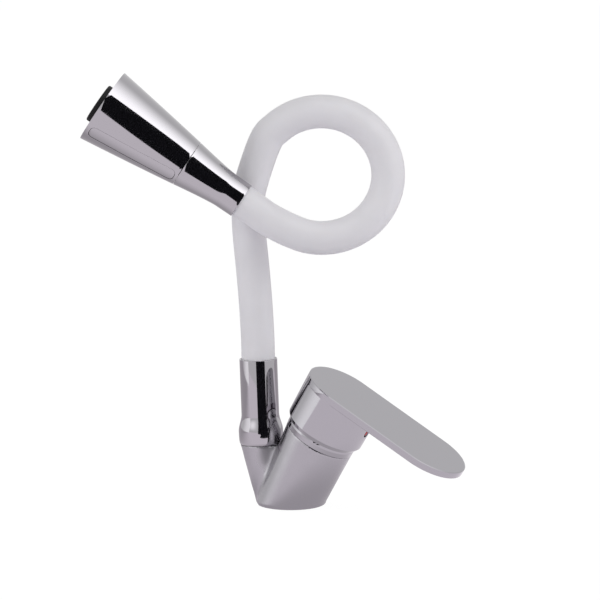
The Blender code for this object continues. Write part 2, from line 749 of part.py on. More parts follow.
def hose(route):
    """Sleeve in two nodes that meet above the bend, with the core and the tube inside."""
    path = smooth_path(route, POINT_SPACING)
    walked = 0.0
    split = 1
    for a, b in zip(path, path[1:]):
        walked += (b - a).length
        if walked >= HOSE_INSERT + SPLIT_HEIGHT:
            break
        split += 1
    step = (path[split + 1] - path[split]).normalized()
    lower = path[:split] + [path[split] - step * GAP / 2]
    upper = [path[split] + step * GAP / 2] + path[split + 1:]
    pipe("hose_sleeve_lower", lower, HOSE_RADIUS, SLEEVE_WALL, HOSE_SIDES, "silicone")
    pipe("hose_sleeve_upper", upper, HOSE_RADIUS, SLEEVE_WALL, HOSE_SIDES, "silicone")
    core = HOSE_RADIUS - SLEEVE_WALL - LOOSE
    tube = core - CORE_WALL - LOOSE
    pipe("gooseneck_core", path, core, CORE_WALL, INSIDE_SIDES, "steel")
    pipe("water_tube", path, tube, TUBE_WALL, INSIDE_SIDES, "white_plastic")
    length = sum((b - a).length for a, b in zip(path, path[1:]))
    print("hose length", round(length, 4), "points", len(path))


def ferrules(head):
    """Brass ends: each has a barb in the water tube, a flange and a tail with its seal."""
    seat = COLLAR_LENGTH - HOSE_INSERT - LOOSE
    tube_bore = HOSE_RADIUS - SLEEVE_WALL - CORE_WALL - TUBE_WALL - 2 * LOOSE
    barb = tube_bore * math.cos(math.pi / INSIDE_SIDES) - GAP
    below = seat - FERRULE_FLANGE
    lower = [(barb, seat + FERRULE_BARB), (barb, seat), (FERRULE_FLANGE_RADIUS, seat),
             (FERRULE_FLANGE_RADIUS, below), (FERRULE_TAIL_RADIUS, below),
             (FERRULE_TAIL_RADIUS, below - FERRULE_TAIL), (FERRULE_BORE, below - FERRULE_TAIL),
             (FERRULE_BORE, seat + FERRULE_BARB)]
    turned("hose_ferrule_lower", lower, RISER, "brass", MEDIUM)

    seat = FERRULE_BARB + LOOSE
    front = seat + FERRULE_FLANGE
    seal = front + HEAD_SEAL_OFFSET
    clip = front + HEAD_CLIP_OFFSET
    tip = front + HEAD_TAIL
    groove = FERRULE_TAIL_RADIUS - HEAD_SEAL_DEPTH
    upper = [(FERRULE_TAIL_RADIUS, tip), (FERRULE_TAIL_RADIUS, clip + HEAD_CLIP_WIDTH),
             (groove, clip + HEAD_CLIP_WIDTH), (groove, clip), (FERRULE_TAIL_RADIUS, clip),
             (FERRULE_TAIL_RADIUS, seal + HEAD_SEAL_WIDTH), (groove, seal + HEAD_SEAL_WIDTH),
             (groove, seal), (FERRULE_TAIL_RADIUS, seal), (FERRULE_TAIL_RADIUS, front),
             (FERRULE_FLANGE_RADIUS, front), (FERRULE_FLANGE_RADIUS, seat), (barb, seat),
             (barb, seat - FERRULE_BARB), (FERRULE_BORE, seat - FERRULE_BARB), (FERRULE_BORE, tip)]
    turned("hose_ferrule_upper", upper, head, "brass", MEDIUM)
    torus("head_o_ring", FERRULE_TAIL_RADIUS - HEAD_SEAL_WIRE, HEAD_SEAL_WIRE,
          seal + HEAD_SEAL_WIDTH / 2, head, "rubber")
    ring_wall = groove + GAP
    snap = ring("head_snap_ring", ring_wall, FERRULE_TAIL_RADIUS + HEAD_CLIP_REACH,
                clip + (HEAD_CLIP_WIDTH - HEAD_CLIP_WIRE) / 2,
                clip + (HEAD_CLIP_WIDTH + HEAD_CLIP_WIRE) / 2, head, "steel")
    mouth = box("snap_mouth", (0.0, -CLIP_MOUTH / 2, clip - OVERRUN),
                (FERRULE_FLANGE_RADIUS, CLIP_MOUTH / 2, clip + HEAD_CLIP_WIDTH + OVERRUN), head)
    cut(snap, mouth)
    return front, clip


def head_frame(rear, direction):
    """Frame of the spray head: Z forwards and X through the middle of the mode lever."""
    plane = hose_frame().to_3x3()
    facing = plane @ Vector((0.0, 0.0, 1.0))
    facing = (facing - direction * facing.dot(direction)).normalized()
    below = facing.cross(direction).normalized()
    if below.z > 0.0:
        below.negate()
    x_axis = facing * math.cos(STRIP_ANGLE) + below * math.sin(STRIP_ANGLE)
    y_axis = direction.cross(x_axis)
    return shift(*rear) @ Matrix((x_axis, y_axis, direction)).transposed().to_4x4()


def flare(place_along):
    """Outer radius of the head's trumpet: one parabola through three measured radii."""
    a, b, c = REAR_COLLAR_LENGTH, MIDDLE, HEAD_LENGTH
    s = place_along
    return (SEAM_RADIUS * (s - b) * (s - c) / ((a - b) * (a - c))
            + MIDDLE_RADIUS * (s - a) * (s - c) / ((b - a) * (b - c))
            + FRONT_RADIUS * (s - a) * (s - b) / ((c - a) * (c - b)))


def neck(place_along):
    """Outer radius of the rear collar: a straight rim, then a curve up to the seam."""
    if place_along <= REAR_NECK:
        return REAR_RIM_RADIUS + (REAR_NECK_RADIUS - REAR_RIM_RADIUS) * place_along / REAR_NECK
    share = (place_along - REAR_NECK) / (REAR_COLLAR_LENGTH - REAR_NECK)
    return REAR_NECK_RADIUS + (SEAM_RADIUS - REAR_NECK_RADIUS) * share ** NECK_POWER


def stations(start, end, count):
    return [start + (end - start) * i / count for i in range(count + 1)]


def head_shells(head, front):
    """Rear collar, front shell and the bezel in its mouth."""
    bore = HOSE_RADIUS + REAR_BORE_CLEARANCE
    inner = WATERWAY_RADIUS + GAP
    outer = [(neck(s), s) for s in reversed(stations(0.0, REAR_COLLAR_LENGTH, 9))]
    profile = outer + [(bore, 0.0), (bore, front + GAP / 2), (inner, front + GAP / 2),
                       (inner, REAR_COLLAR_LENGTH)]
    turned("hose_end_collar", profile, head, "chrome", ROUND)

    start = REAR_COLLAR_LENGTH + GAP
    mouth = HEAD_LENGTH - SHELL_MOUTH
    mouth_radius = FRONT_RADIUS - SHELL_MOUTH_WALL
    seat = WATERWAY_FLANGE_PLACE - GAP
    seat_radius = WATERWAY_FLANGE_RADIUS + GAP
    wall_start = start + SHELL_WALL * 2 / 3
    outside = [(flare(s), s) for s in reversed(stations(start, HEAD_LENGTH, 8))]
    inside = [(flare(s) - SHELL_WALL, s) for s in stations(wall_start, seat, 5)]
    profile = (outside + [(inner, start), (inner, wall_start)] + inside
               + [(seat_radius, seat), (seat_radius, mouth), (mouth_radius, mouth),
                  (mouth_radius, HEAD_LENGTH)])
    shell = turned("head_shell", profile, head, "chrome", ROUND)
    bar = rounded_bar(STRIP_START - GAP, STRIP_END + GAP, STRIP_WIDTH / 2 + GAP,
                      STRIP_CORNER + GAP)
    slot = outline("strip_slot", bar, 0.0, FRONT_RADIUS + OVERRUN, head @ radial_frame())
    cut(shell, slot)
    ring("front_bezel", FACE_RADIUS + GAP, mouth_radius - GAP, mouth + GAP,
         HEAD_LENGTH - BEZEL_RECESS, head, "chrome", ROUND)
    return mouth


def radial_frame():
    """Turns a frame so that its Z points out of the head and its X runs along the axis."""
    return Matrix(((0.0, 0.0, 1.0), (0.0, 1.0, 0.0), (1.0, 0.0, 0.0))).to_4x4() @ \
        Matrix.Scale(-1.0, 4, (0.0, 1.0, 0.0))


def waterway(head, front, clip, mouth):
    """Plastic inner body: socket for the ferrule, passage, chamber and seat of the shell."""
    socket = FERRULE_TAIL_RADIUS + REAR_BORE_CLEARANCE
    groove = FERRULE_TAIL_RADIUS + HEAD_CLIP_REACH + GAP
    start = front + GAP
    end = mouth
    flange = WATERWAY_FLANGE_PLACE
    profile = [(WATERWAY_FRONT_RADIUS, end), (WATERWAY_FRONT_RADIUS, flange + WATERWAY_FLANGE),
               (WATERWAY_FLANGE_RADIUS, flange + WATERWAY_FLANGE), (WATERWAY_FLANGE_RADIUS, flange),
               (WATERWAY_FRONT_RADIUS, flange), (WATERWAY_FRONT_RADIUS, WATERWAY_STEP),
               (WATERWAY_RADIUS, WATERWAY_STEP), (WATERWAY_RADIUS, start), (socket, start),
               (socket, clip), (groove, clip), (groove, clip + HEAD_CLIP_WIDTH),
               (socket, clip + HEAD_CLIP_WIDTH), (socket, WATERWAY_SOCKET_END),
               (WATERWAY_PASSAGE, WATERWAY_SOCKET_END), (WATERWAY_PASSAGE, CHAMBER_START),
               (CHAMBER_RADIUS, CHAMBER_START), (CHAMBER_RADIUS, end)]
    body = turned("head_waterway", profile, head, "white_plastic", MEDIUM)
    gap_half = LUG_WIDTH / 2 + GAP
    for name, low, high in (("ear_a", gap_half, gap_half + EAR_WIDTH),
                            ("ear_b", -gap_half - EAR_WIDTH, -gap_half)):
        ear = box(name, (CHAMBER_RADIUS + EAR_WIDTH, low, STRIP_PIVOT - EAR_LENGTH / 2),
                  (EAR_TOP, high, STRIP_PIVOT + EAR_LENGTH / 2), head)
        join(body, ear)
    pocket = box("spring_pocket", (POCKET_FLOOR, -POCKET_SIDE / 2, PLUNGER_PLACE - POCKET_SIDE / 2),
                 (WATERWAY_FRONT_RADIUS, POCKET_SIDE / 2, PLUNGER_PLACE + POCKET_SIDE / 2), head)
    stem = rod("plunger_hole", PLUNGER_STEM_RADIUS + GAP, 0.0, WATERWAY_RADIUS,
               head @ shift(z=PLUNGER_PLACE) @ FACING_X, None, FINE)
    pin = rod("lever_pin_hole", PIN_RADIUS + GAP, -gap_half - EAR_WIDTH - OVERRUN,
              gap_half + EAR_WIDTH + OVERRUN,
              head @ shift(x=PIVOT_RADIUS_OUT, z=STRIP_PIVOT) @ FACING_Y, None, FINE)
    cut(body, pocket, stem, pin)
    rod("filter_screen", socket - GAP, WATERWAY_SOCKET_END - GAP - SCREEN_THICKNESS,
        WATERWAY_SOCKET_END - GAP, head, "steel")


def mode_lever(head):
    """Strip cut from the head's own trumpet, with a lug under it that rocks on a pin."""
    start = STRIP_START
    end = STRIP_END
    outside = [(flare(s), s) for s in reversed(stations(start - OVERRUN, end + OVERRUN, 7))]
    inside = [(flare(s) - STRIP_THICKNESS, s) for s in stations(start - OVERRUN, end + OVERRUN, 7)]
    wall = turned("strip_wall", outside + inside, head, None, ROUND)
    bar = rounded_bar(start, end, STRIP_WIDTH / 2, STRIP_CORNER)
    strip = outline("mode_lever", bar, PIVOT_RADIUS_OUT - LUG_LENGTH, FRONT_RADIUS + OVERRUN,
                    head @ radial_frame(), "chrome")
    combine(strip, [wall], "INTERSECT")
    lug_top = MIDDLE_RADIUS - STRIP_THICKNESS / 2
    lug = box("lever_lug", (LUG_FOOT, -LUG_WIDTH / 2, STRIP_PIVOT - LUG_LENGTH / 2),
              (lug_top, LUG_WIDTH / 2, STRIP_PIVOT + LUG_LENGTH / 2), head)
    join(strip, lug)
    across = head @ shift(x=PIVOT_RADIUS_OUT, z=STRIP_PIVOT) @ FACING_Y
    hole = rod("lug_hole", PIN_RADIUS + GAP, -LUG_WIDTH, LUG_WIDTH, across, None, FINE)
    cut(strip, hole)
    half = LUG_WIDTH / 2 + GAP + EAR_WIDTH
    rod("mode_lever_pin", PIN_RADIUS, -half, half, across, "steel", FINE)

    radial = head @ shift(z=PLUNGER_PLACE) @ FACING_X
    head_bottom = PLUNGER_TOP - PLUNGER_HEAD
    profile = [(0.0, PLUNGER_TOP), (PLUNGER_HEAD_RADIUS, PLUNGER_TOP),
               (PLUNGER_HEAD_RADIUS, head_bottom), (PLUNGER_STEM_RADIUS, head_bottom),
               (PLUNGER_STEM_RADIUS, PLUNGER_FOOT), (0.0, PLUNGER_FOOT)]
    turned("diverter_plunger", profile, radial, "grey_plastic", SMALL)
    low = POCKET_FLOOR + SPRING_WIRE + GAP
    high = head_bottom - SPRING_WIRE - GAP
    count = round(SPRING_TURNS * SPRING_STEPS)
    coil = []
    for i in range(count + 1):
        turn = math.tau * i / SPRING_STEPS
        coil.append(radial @ Vector((SPRING_RADIUS * math.cos(turn), SPRING_RADIUS * math.sin(turn),
                                     low + (high - low) * i / count)))
    place("diverter_spring", path_mesh("diverter_spring", coil, SPRING_WIRE, 6, True),
          Matrix.Identity(4), "steel")


def spray_face(head, mouth):
    """Black face with a ring of nozzles round the aerator."""
    top = HEAD_LENGTH + FACE_PROUD
    bottom = top - FACE_DEPTH
    inner = AERATOR_RADIUS + GAP
    profile = [(FACE_RADIUS - FACE_EDGE, top), (FACE_RADIUS, top - FACE_EDGE),
               (FACE_RADIUS, mouth + GAP), (inner, mouth + GAP), (inner, top)]
    face = turned("spray_face", profile, head, "black_plastic", ROUND)
    for i in range(NOZZLE_COUNT):
        turn = math.tau * i / NOZZLE_COUNT
        at = head @ shift(NOZZLE_CIRCLE * math.cos(turn), NOZZLE_CIRCLE * math.sin(turn))
        cut(face, rod("nozzle_%02d" % i, NOZZLE_RADIUS, bottom - FACE_DEPTH, top + OVERRUN,
                      at, None, 6))
    back = top - AERATOR_DEPTH
    hole = AERATOR_RADIUS - AERATOR_WALL
    profile = [(AERATOR_RADIUS, top), (AERATOR_RADIUS, back), (hole - AERATOR_LIP, back),
               (hole - AERATOR_LIP, back + AERATOR_LIP), (hole, back + AERATOR_LIP), (hole, top)]
    turned("aerator_housing", profile, head, "grey_plastic", MEDIUM)
    seat = back + AERATOR_LIP + GAP
    rod("aerator_mesh", hole - GAP, seat, seat + MESH_THICKNESS, head, "steel")


def cartridge():
    """Ceramic disc cartridge, from the base plate in the seat to the nut on its shoulder."""
    plate_top = BASE_PLATE + BASE_PLATE_HEIGHT
    ports = (("hot", INLET_SPREAD), ("cold", -INLET_SPREAD))
    along = ((INLET_X - BARREL_FOOT_X) - SEAT * math.sin(BARREL_TILT)) / math.cos(BARREL_TILT)
    places = [(name, along, y) for name, y in ports] + [("outlet", OUTLET_OFFSET, 0.0)]
    base = rod("cartridge_base", CARTRIDGE_RADIUS, BASE_PLATE, plate_top, BARREL,
               "grey_plastic", MEDIUM)
    disc_bottom = plate_top + GAP
    disc_top = disc_bottom + DISC_THICKNESS
    disc = rod("fixed_disc", FIXED_DISC_RADIUS, disc_bottom, disc_top, BARREL, "ceramic", MEDIUM)
    for name, x, y in places:
        at = BARREL @ shift(x, y)
        way = rod(name + "_port", PORT_RADIUS, BASE_PLATE - OVERRUN, disc_top + OVERRUN, at,
                  None, FINE)
        cut(base, way)
        cut(disc, way)
        ring("port_seal_" + name, PORT_RADIUS + GAP, PORT_RADIUS + GAP + PORT_SEAL_WIDTH,
             SEAT + GAP, SEAT + GAP + PORT_SEAL_HEIGHT, at, "rubber", SMALL)
    for name, side in (("a", 1.0), ("b", -1.0)):
        peg = rod("peg_" + name, PEG_RADIUS, SEAT - PEG_LENGTH + GAP, BASE_PLATE + OVERRUN,
                  BARREL @ shift(PEG_ALONG, side * PEG_SPREAD), None, FINE)
        join(base, peg)

    moving_bottom = disc_top + GAP
    moving_top = moving_bottom + MOVING_DISC_THICKNESS
    profile = [(0.0, moving_top), (MOVING_DISC_RADIUS, moving_top),
               (MOVING_DISC_RADIUS, moving_bottom), (MIXING_RADIUS, moving_bottom),
               (MIXING_RADIUS, moving_bottom + MIXING_DEPTH), (0.0, moving_bottom + MIXING_DEPTH)]
    turned("moving_disc", profile, BARREL, "ceramic", MEDIUM)
    ball = PIVOT_HEIGHT - BALL_DROP
    socket = BALL_RADIUS + LOOSE
    socket_floor = ball - BALL_RADIUS - GAP
    profile = [(0.0, socket_floor), (socket, socket_floor), (socket, CARRIER_TOP),
               (CARRIER_RADIUS, CARRIER_TOP), (CARRIER_RADIUS, moving_top + GAP),
               (0.0, moving_top + GAP)]
    turned("disc_carrier", profile, BARREL, "grey_plastic", MEDIUM)

    start = plate_top + GAP
    lid = HOUSING_TOP - HOUSING_LID
    profile = [(HOUSING_NECK_RADIUS, HOUSING_TOP), (HOUSING_NECK_RADIUS, HOUSING_SHOULDER),
               (CARTRIDGE_RADIUS, HOUSING_SHOULDER), (CARTRIDGE_RADIUS, start),
               (HOUSING_BORE, start), (HOUSING_BORE, HOUSING_SHELF),
               (HOUSING_NECK_BORE, HOUSING_SHELF), (HOUSING_NECK_BORE, lid), (HOUSING_MOUTH, lid),
               (HOUSING_MOUTH, HOUSING_TOP)]
    turned("cartridge_housing", profile, BARREL, "grey_plastic", MEDIUM)

    rotor_bottom = HOUSING_SHELF + GAP
    profile = [(0.0, ROTOR_TOP), (ROTOR_NECK_RADIUS, ROTOR_TOP),
               (ROTOR_NECK_RADIUS, ROTOR_SHOULDER), (ROTOR_RADIUS, ROTOR_SHOULDER),
               (ROTOR_RADIUS, rotor_bottom), (0.0, rotor_bottom)]
    rotor = turned("cartridge_rotor", profile, BARREL, "white_plastic", MEDIUM)
    half = STEM_SIDE / 2 + GAP
    slot = box("rotor_slot", (-ROTOR_SLOT_BACK, -half, rotor_bottom - OVERRUN),
               (ROTOR_SLOT_FRONT, half, ROTOR_TOP + OVERRUN), BARREL)
    across = PIVOT @ FACING_Y
    pin_hole = rod("rotor_pin_hole", STEM_PIN_RADIUS + PIN_CLEARANCE, -CARTRIDGE_RADIUS,
                   CARTRIDGE_RADIUS, across, None, FINE)
    cut(rotor, slot, pin_hole)
    rod("stem_pin", STEM_PIN_RADIUS, -STEM_PIN_HALF, STEM_PIN_HALF, across, "steel", FINE)

    side = STEM_SIDE / 2
    stem = box("cartridge_stem", (-side, -side, PIVOT_HEIGHT - STEM_NECK_HALF), (side, side, STEM_TOP),
               BARREL, "brass")
    tail = rod("stem_tail", STEM_TAIL_RADIUS, ball, PIVOT_HEIGHT - STEM_NECK_HALF + GAP, BARREL,
               None, FINE)
    knob = turned("stem_ball", ball_profile(BALL_RADIUS, ball, 8), BARREL, None, FINE)
    join(stem, tail, knob)
    stem_hole = rod("stem_pin_hole", STEM_PIN_RADIUS + PIN_CLEARANCE, -STEM_SIDE, STEM_SIDE,
                    across, None, FINE)
    cut(stem, stem_hole)

    nut_bottom = HOUSING_SHOULDER + GAP
    nut_top = nut_bottom + NUT_HEIGHT
    nut = ring("cartridge_nut", NUT_BORE, NUT_RADIUS, nut_bottom, nut_top, BARREL, "brass", MEDIUM)
    for i in range(2):
        spanner = box("nut_slot_%d" % i, (-NUT_RADIUS - OVERRUN, -NUT_SLOT / 2, nut_top - NUT_SLOT_DEPTH),
                      (NUT_RADIUS + OVERRUN, NUT_SLOT / 2, nut_top + OVERRUN),
                      BARREL @ Matrix.Rotation(math.pi / 2 * i, 4, "Z"))
        cut(nut, spanner)
    return nut_top


def ball_profile(radius, height, steps):
    points = []
    for i in range(steps + 1):
        turn = math.pi * i / steps
        points.append((radius * math.sin(turn) if 0 < i < steps else 0.0,
                       height + radius * math.cos(turn)))
    return points


def round_at(radius, height):
    """Radius, at a height, of a ball round the pivot of the stem."""
    return math.sqrt(radius ** 2 - (height - PIVOT_HEIGHT) ** 2)


def dome_ring(nut_top):
    """Fixed cover of the cartridge: a band on the barrel and a dome under the lever."""
    seam = BARREL_TOP + GAP
    band_top = seam + DOME_BAND
    dome = [(round_at(DOME_RADIUS, h), h) for h in stations(DOME_TOP, band_top, 4)]
    under = DOME_TOP - DOME_WALL
    inner = DOME_RADIUS - DOME_WALL
    cavity_floor = band_top - DOME_WALL / 3
    spigot = seam - GAP - DOME_SPIGOT
    profile = (dome + [(DOME_BAND_RADIUS, band_top), (DOME_BAND_RADIUS, seam), (NUT_RADIUS, seam),
                       (NUT_RADIUS, max(spigot, nut_top + GAP)),
                       (DOME_SPIGOT_BORE, max(spigot, nut_top + GAP)),
                       (DOME_SPIGOT_BORE, cavity_floor), (round_at(inner, cavity_floor), cavity_floor),
                       (round_at(inner, under), under), (DOME_BORE, under), (DOME_BORE, DOME_TOP)])
    turned("dome_ring", profile, BARREL, "chrome", ROUND)


def lever():
    """Flat bar with round ends on a round hub, hollow under it so that it can tilt."""
    plate_bottom = PLATE_TOP - PLATE_THICKNESS
    handle = outline("lever_handle", stadium(PLATE_REACH, PLATE_END_RADIUS, 15), plate_bottom,
                     PLATE_TOP, BARREL, "chrome")
    soften(handle, PLATE_EDGE, 1)
    hub_top = plate_bottom + PLATE_THICKNESS / 2
    hub = turned("lever_hub", [(0.0, hub_top), (LEVER_RADIUS, hub_top),
                               (LEVER_RADIUS, LEVER_CHAMFER_TOP), (LEVER_LIP_RADIUS, LEVER_LIP),
                               (LEVER_CAVITY_RADIUS, LEVER_LIP),
                               (LEVER_CAVITY_RADIUS, LEVER_CEILING), (0.0, LEVER_CEILING)], BARREL)
    join(handle, hub)
    boss = rod("lever_boss", BOSS_RADIUS, BOSS_BOTTOM, LEVER_CEILING + GAP, BARREL)
    side = STEM_SIDE / 2 + GAP
    socket = box("lever_socket", (-side, -side, BOSS_BOTTOM - OVERRUN), (side, side, SOCKET_TOP),
                 BARREL)
    at = BARREL @ shift(z=GRUB_HEIGHT) @ FACING_X
    grub_end = side + GRUB_LENGTH
    plug_top = LEVER_RADIUS - PLUG_RECESS
    plug_bottom = plug_top - PLUG_LENGTH
    grub_hole = rod("grub_hole", GRUB_RADIUS + GAP, 0.0, BOSS_RADIUS + OVERRUN, at, None, FINE)
    plug_hole = rod("plug_hole", PLUG_RADIUS + GAP, plug_bottom - OVERRUN, LEVER_RADIUS + OVERRUN, at)
    join(handle, boss)
    cut(handle, socket)
    cut(handle, plug_hole)
    cut(handle, grub_hole)
    screw = rod("lever_grub_screw", GRUB_RADIUS, side, grub_end, at, "steel", FINE)
    key = rod("grub_key", GRUB_KEY_RADIUS, grub_end - GRUB_KEY_DEPTH, grub_end + OVERRUN, at, None, 6)
    cut(screw, key)

    pocket_floor = plug_top - PLUG_POCKET
    pocket = PLUG_RADIUS - PLUG_WALL
    profile = [(0.0, pocket_floor), (pocket, pocket_floor), (pocket, plug_top),
               (PLUG_RADIUS, plug_top), (PLUG_RADIUS, plug_bottom), (0.0, plug_bottom)]
    turned("indicator_plug", profile, at, "black_plastic", SMALL)
    inset = pocket - GAP
    for name, low, high, finish in (("indicator_red", -inset - OVERRUN, -GAP / 2, "red_plastic"),
                                    ("indicator_blue", GAP / 2, inset + OVERRUN, "blue_plastic")):
        dot = rod(name, inset, pocket_floor + GAP, plug_top - GAP, at, finish)
        half = box(name + "_half", (-inset - OVERRUN, low, pocket_floor - OVERRUN),
                   (inset + OVERRUN, high, plug_top + OVERRUN), at)
        combine(dot, [half], "INTERSECT")


def shade(item):
    """Bake the modifiers and shade the round faces smooth."""
    view = bpy.context.evaluated_depsgraph_get()
    mesh = bpy.data.meshes.new_from_object(item.evaluated_get(view))
    mesh.name = item.name
    mesh.shade_smooth()
    mesh.set_sharp_from_angle(angle=math.radians(35.0))
    return mesh


def main():
    body_casting()
    swivel()
    spout_collar()
    route, rear, direction = hose_route()
    head = head_frame(rear, direction)
    hose(route)
    front, clip = ferrules(head)
    mouth = head_shells(head, front)
    waterway(head, front, clip, mouth)
    mode_lever(head)
    spray_face(head, mouth)
    nut_top = cartridge()
    dome_ring(nut_top)
    lever()
    bpy.context.view_layer.update()
    meshes = [(item, shade(item)) for item in PARTS.objects]
    for item, mesh in meshes:
        item.modifiers.clear()
        item.data = mesh
    lean = RISER @ Vector((0.0, 0.0, COLLAR_LENGTH + LEAN_HEIGHT))
    print("pivot of the stem", tuple(round(v, 5) for v in PIVOT.translation))
    print("pivot of the hose", tuple(round(v, 5) for v in lean))
    print("head frame", [[round(v, 5) for v in row] for row in head])


main()
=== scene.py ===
# %% [markdown]
# # A kitchen faucet with a posable hose
# The CAD model gives the frame: every hidden piece, every joint and every size.
# This file adds what the eye sees: smooth chrome, milky silicone, a studio and a camera.

# %% Load the frame
import json
import math

import bpy
from mathutils import Matrix, Vector
from mathutils.kdtree import KDTree


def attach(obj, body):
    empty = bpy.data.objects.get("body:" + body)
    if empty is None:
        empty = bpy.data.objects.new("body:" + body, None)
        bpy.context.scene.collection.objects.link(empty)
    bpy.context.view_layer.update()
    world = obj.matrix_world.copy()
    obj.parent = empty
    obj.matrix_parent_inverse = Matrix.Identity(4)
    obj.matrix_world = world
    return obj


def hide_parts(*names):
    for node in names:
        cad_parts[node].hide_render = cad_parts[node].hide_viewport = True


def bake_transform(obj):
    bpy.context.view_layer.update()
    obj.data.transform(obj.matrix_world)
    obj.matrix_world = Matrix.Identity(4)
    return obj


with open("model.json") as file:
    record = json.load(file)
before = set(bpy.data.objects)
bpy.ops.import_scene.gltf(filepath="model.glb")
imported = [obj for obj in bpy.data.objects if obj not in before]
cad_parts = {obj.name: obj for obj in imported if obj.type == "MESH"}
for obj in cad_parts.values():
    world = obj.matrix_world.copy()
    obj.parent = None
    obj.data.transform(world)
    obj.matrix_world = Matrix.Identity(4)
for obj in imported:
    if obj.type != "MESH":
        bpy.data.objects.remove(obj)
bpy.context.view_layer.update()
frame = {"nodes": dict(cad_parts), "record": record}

# %% [markdown]
# ## Frames and sizes
# The faucet has three axes of its own: the slanted barrel, the upright riser and the
# spray head. A piece is easiest to shape upright at the world's origin, so each one is
# made there and then laid along its axis.

# %% Axes of the faucet
GAP = 0.0003
JOINT = 0.0001
BARREL_LEAN = math.radians(30.0)
RISER_LEAN = math.radians(-2.26)
BARREL = Matrix.Translation((-0.0052, 0.0, 0.0)) @ Matrix.Rotation(BARREL_LEAN, 4, "Y")
RISER = Matrix.Translation((-0.0201, 0.0, 0.0366)) @ Matrix.Rotation(RISER_LEAN, 4, "Y")
PIVOT_HEIGHT = 0.0505

# %% [markdown]
# ## The route of the hose
# The hose leaves its collar upwards, leans back, makes one loop and runs into the spray
# head. The route is a handful of points and a circle. A smooth curve through them gives
# both the hose and the place of the head.

# %% Points of the route
HOSE_RADIUS = 0.0104
SLEEVE_WALL = 0.0024
COLLAR_LENGTH = 0.0533
HOSE_INSERT = COLLAR_LENGTH * 0.3246
LOOP_RADIUS = 0.0403
LOOP_RISE = 0.0377
LOOP_ALONG = 0.0196
LOOP_HEIGHT = 0.2061
LOOP_TURN = math.radians(25.0)
LOOP_START = math.radians(152.0)
LOOP_END = math.radians(-118.0)
LOOP_STEP = math.radians(18.0)
LOOP_BACK_SHARE = 0.16
CROSSING_CLEARANCE = 0.0007
REAR_RIM_RADIUS = 0.0113
HEAD_SLOPE = math.radians(34.0)
HEAD_BACK_SLOPE = math.radians(5.6)
HEAD_RUN = 0.0310
FERRULE_BARB = 0.0140
RISER_ROUTE_SHARES = (
    (0.13, -0.04, 0.00),
    (0.31, -0.16, 0.08),
    (0.49, -0.33, 0.20),
    (0.64, -0.50, 0.34),
    (0.77, -0.58, 0.46),
    (0.90, -0.52, 0.54),
)


def hose_route():
    """Points of the route, the rear centre of the head and the head's direction."""
    along = Vector((math.cos(LOOP_TURN), math.sin(LOOP_TURN), 0.0))
    front = Vector((math.sin(LOOP_TURN), -math.cos(LOOP_TURN), 0.0))
    plane = Matrix((along, (0.0, 0.0, 1.0), front)).transposed().to_4x4()
    top = RISER @ Vector((0.0, 0.0, COLLAR_LENGTH))
    foot = plane.inverted() @ top
    back = foot.z - LOOP_BACK_SHARE * LOOP_RADIUS
    near = (back + HOSE_RADIUS + REAR_RIM_RADIUS + CROSSING_CLEARANCE
            + HEAD_RUN * math.sin(HEAD_BACK_SLOPE))
    points = [RISER @ Vector((0.0, 0.0, COLLAR_LENGTH - HOSE_INSERT)),
              RISER @ Vector((0.0, 0.0, COLLAR_LENGTH - HOSE_INSERT / 2)), top]
    for rise, side, depth in RISER_ROUTE_SHARES:
        points.append(plane @ Vector((
            foot.x + side * HOSE_RADIUS, foot.y + rise * (LOOP_HEIGHT - foot.y),
            foot.z + depth * (back - foot.z) / RISER_ROUTE_SHARES[-1][2])))
    turn = LOOP_START
    while turn > LOOP_END:
        share = (LOOP_START - turn) / (LOOP_START - LOOP_END)
        ease = share * share * (3.0 - 2.0 * share)
        points.append(plane @ Vector((LOOP_ALONG + LOOP_RADIUS * math.cos(turn),
                                      LOOP_HEIGHT + LOOP_RISE * math.sin(turn),
                                      back + (near - back) * ease)))
        turn -= LOOP_STEP
    flat = math.cos(HEAD_BACK_SLOPE)
    direction = plane.to_3x3() @ Vector((-math.cos(HEAD_SLOPE) * flat,
                                         math.sin(HEAD_SLOPE) * flat,
                                         -math.sin(HEAD_BACK_SLOPE)))
    leave = LOOP_END - LOOP_STEP / 2
    last = plane @ Vector((LOOP_ALONG + LOOP_RADIUS * math.cos(leave),
                           LOOP_HEIGHT + LOOP_RADIUS * math.sin(leave), near))
    rear = last + direction * HEAD_RUN
    points += [last + direction * HEAD_RUN / 3, last + direction * HEAD_RUN * 2 / 3, rear,
               rear + direction * FERRULE_BARB]
    return points, rear, direction


def smooth_path(points, spacing):
    """Even points on a smooth curve through the given ones."""
    ends = [2 * points[0] - points[1]] + list(points) + [2 * points[-1] - points[-2]]
    fine = []
    for a, b, c, d in zip(ends, ends[1:], ends[2:], ends[3:]):
        for i in range(24):
            t = i / 24
            fine.append(0.5 * ((2 * b) + (c - a) * t + (2 * a - 5 * b + 4 * c - d) * t * t
                               + (3 * b - a - 3 * c + d) * t ** 3))
    fine.append(points[-1])
    walked = [0.0]
    for a, b in zip(fine, fine[1:]):
        walked.append(walked[-1] + (b - a).length)
    count = round(walked[-1] / spacing)
    even = []
    j = 0
    for i in range(count + 1):
        target = walked[-1] * i / count
        while j < len(fine) - 2 and walked[j + 1] < target:
            j += 1
        share = (target - walked[j]) / max(walked[j + 1] - walked[j], 1e-9)
        even.append(fine[j].lerp(fine[j + 1], share))
    return even


route, head_rear, head_direction = hose_route()
print("head starts at", [round(v, 4) for v in head_rear])

# %% [markdown]
# The head's own frame has its Z axis along the head and its X axis through the mode
# lever, which lies on the lower side, turned a little towards the front.

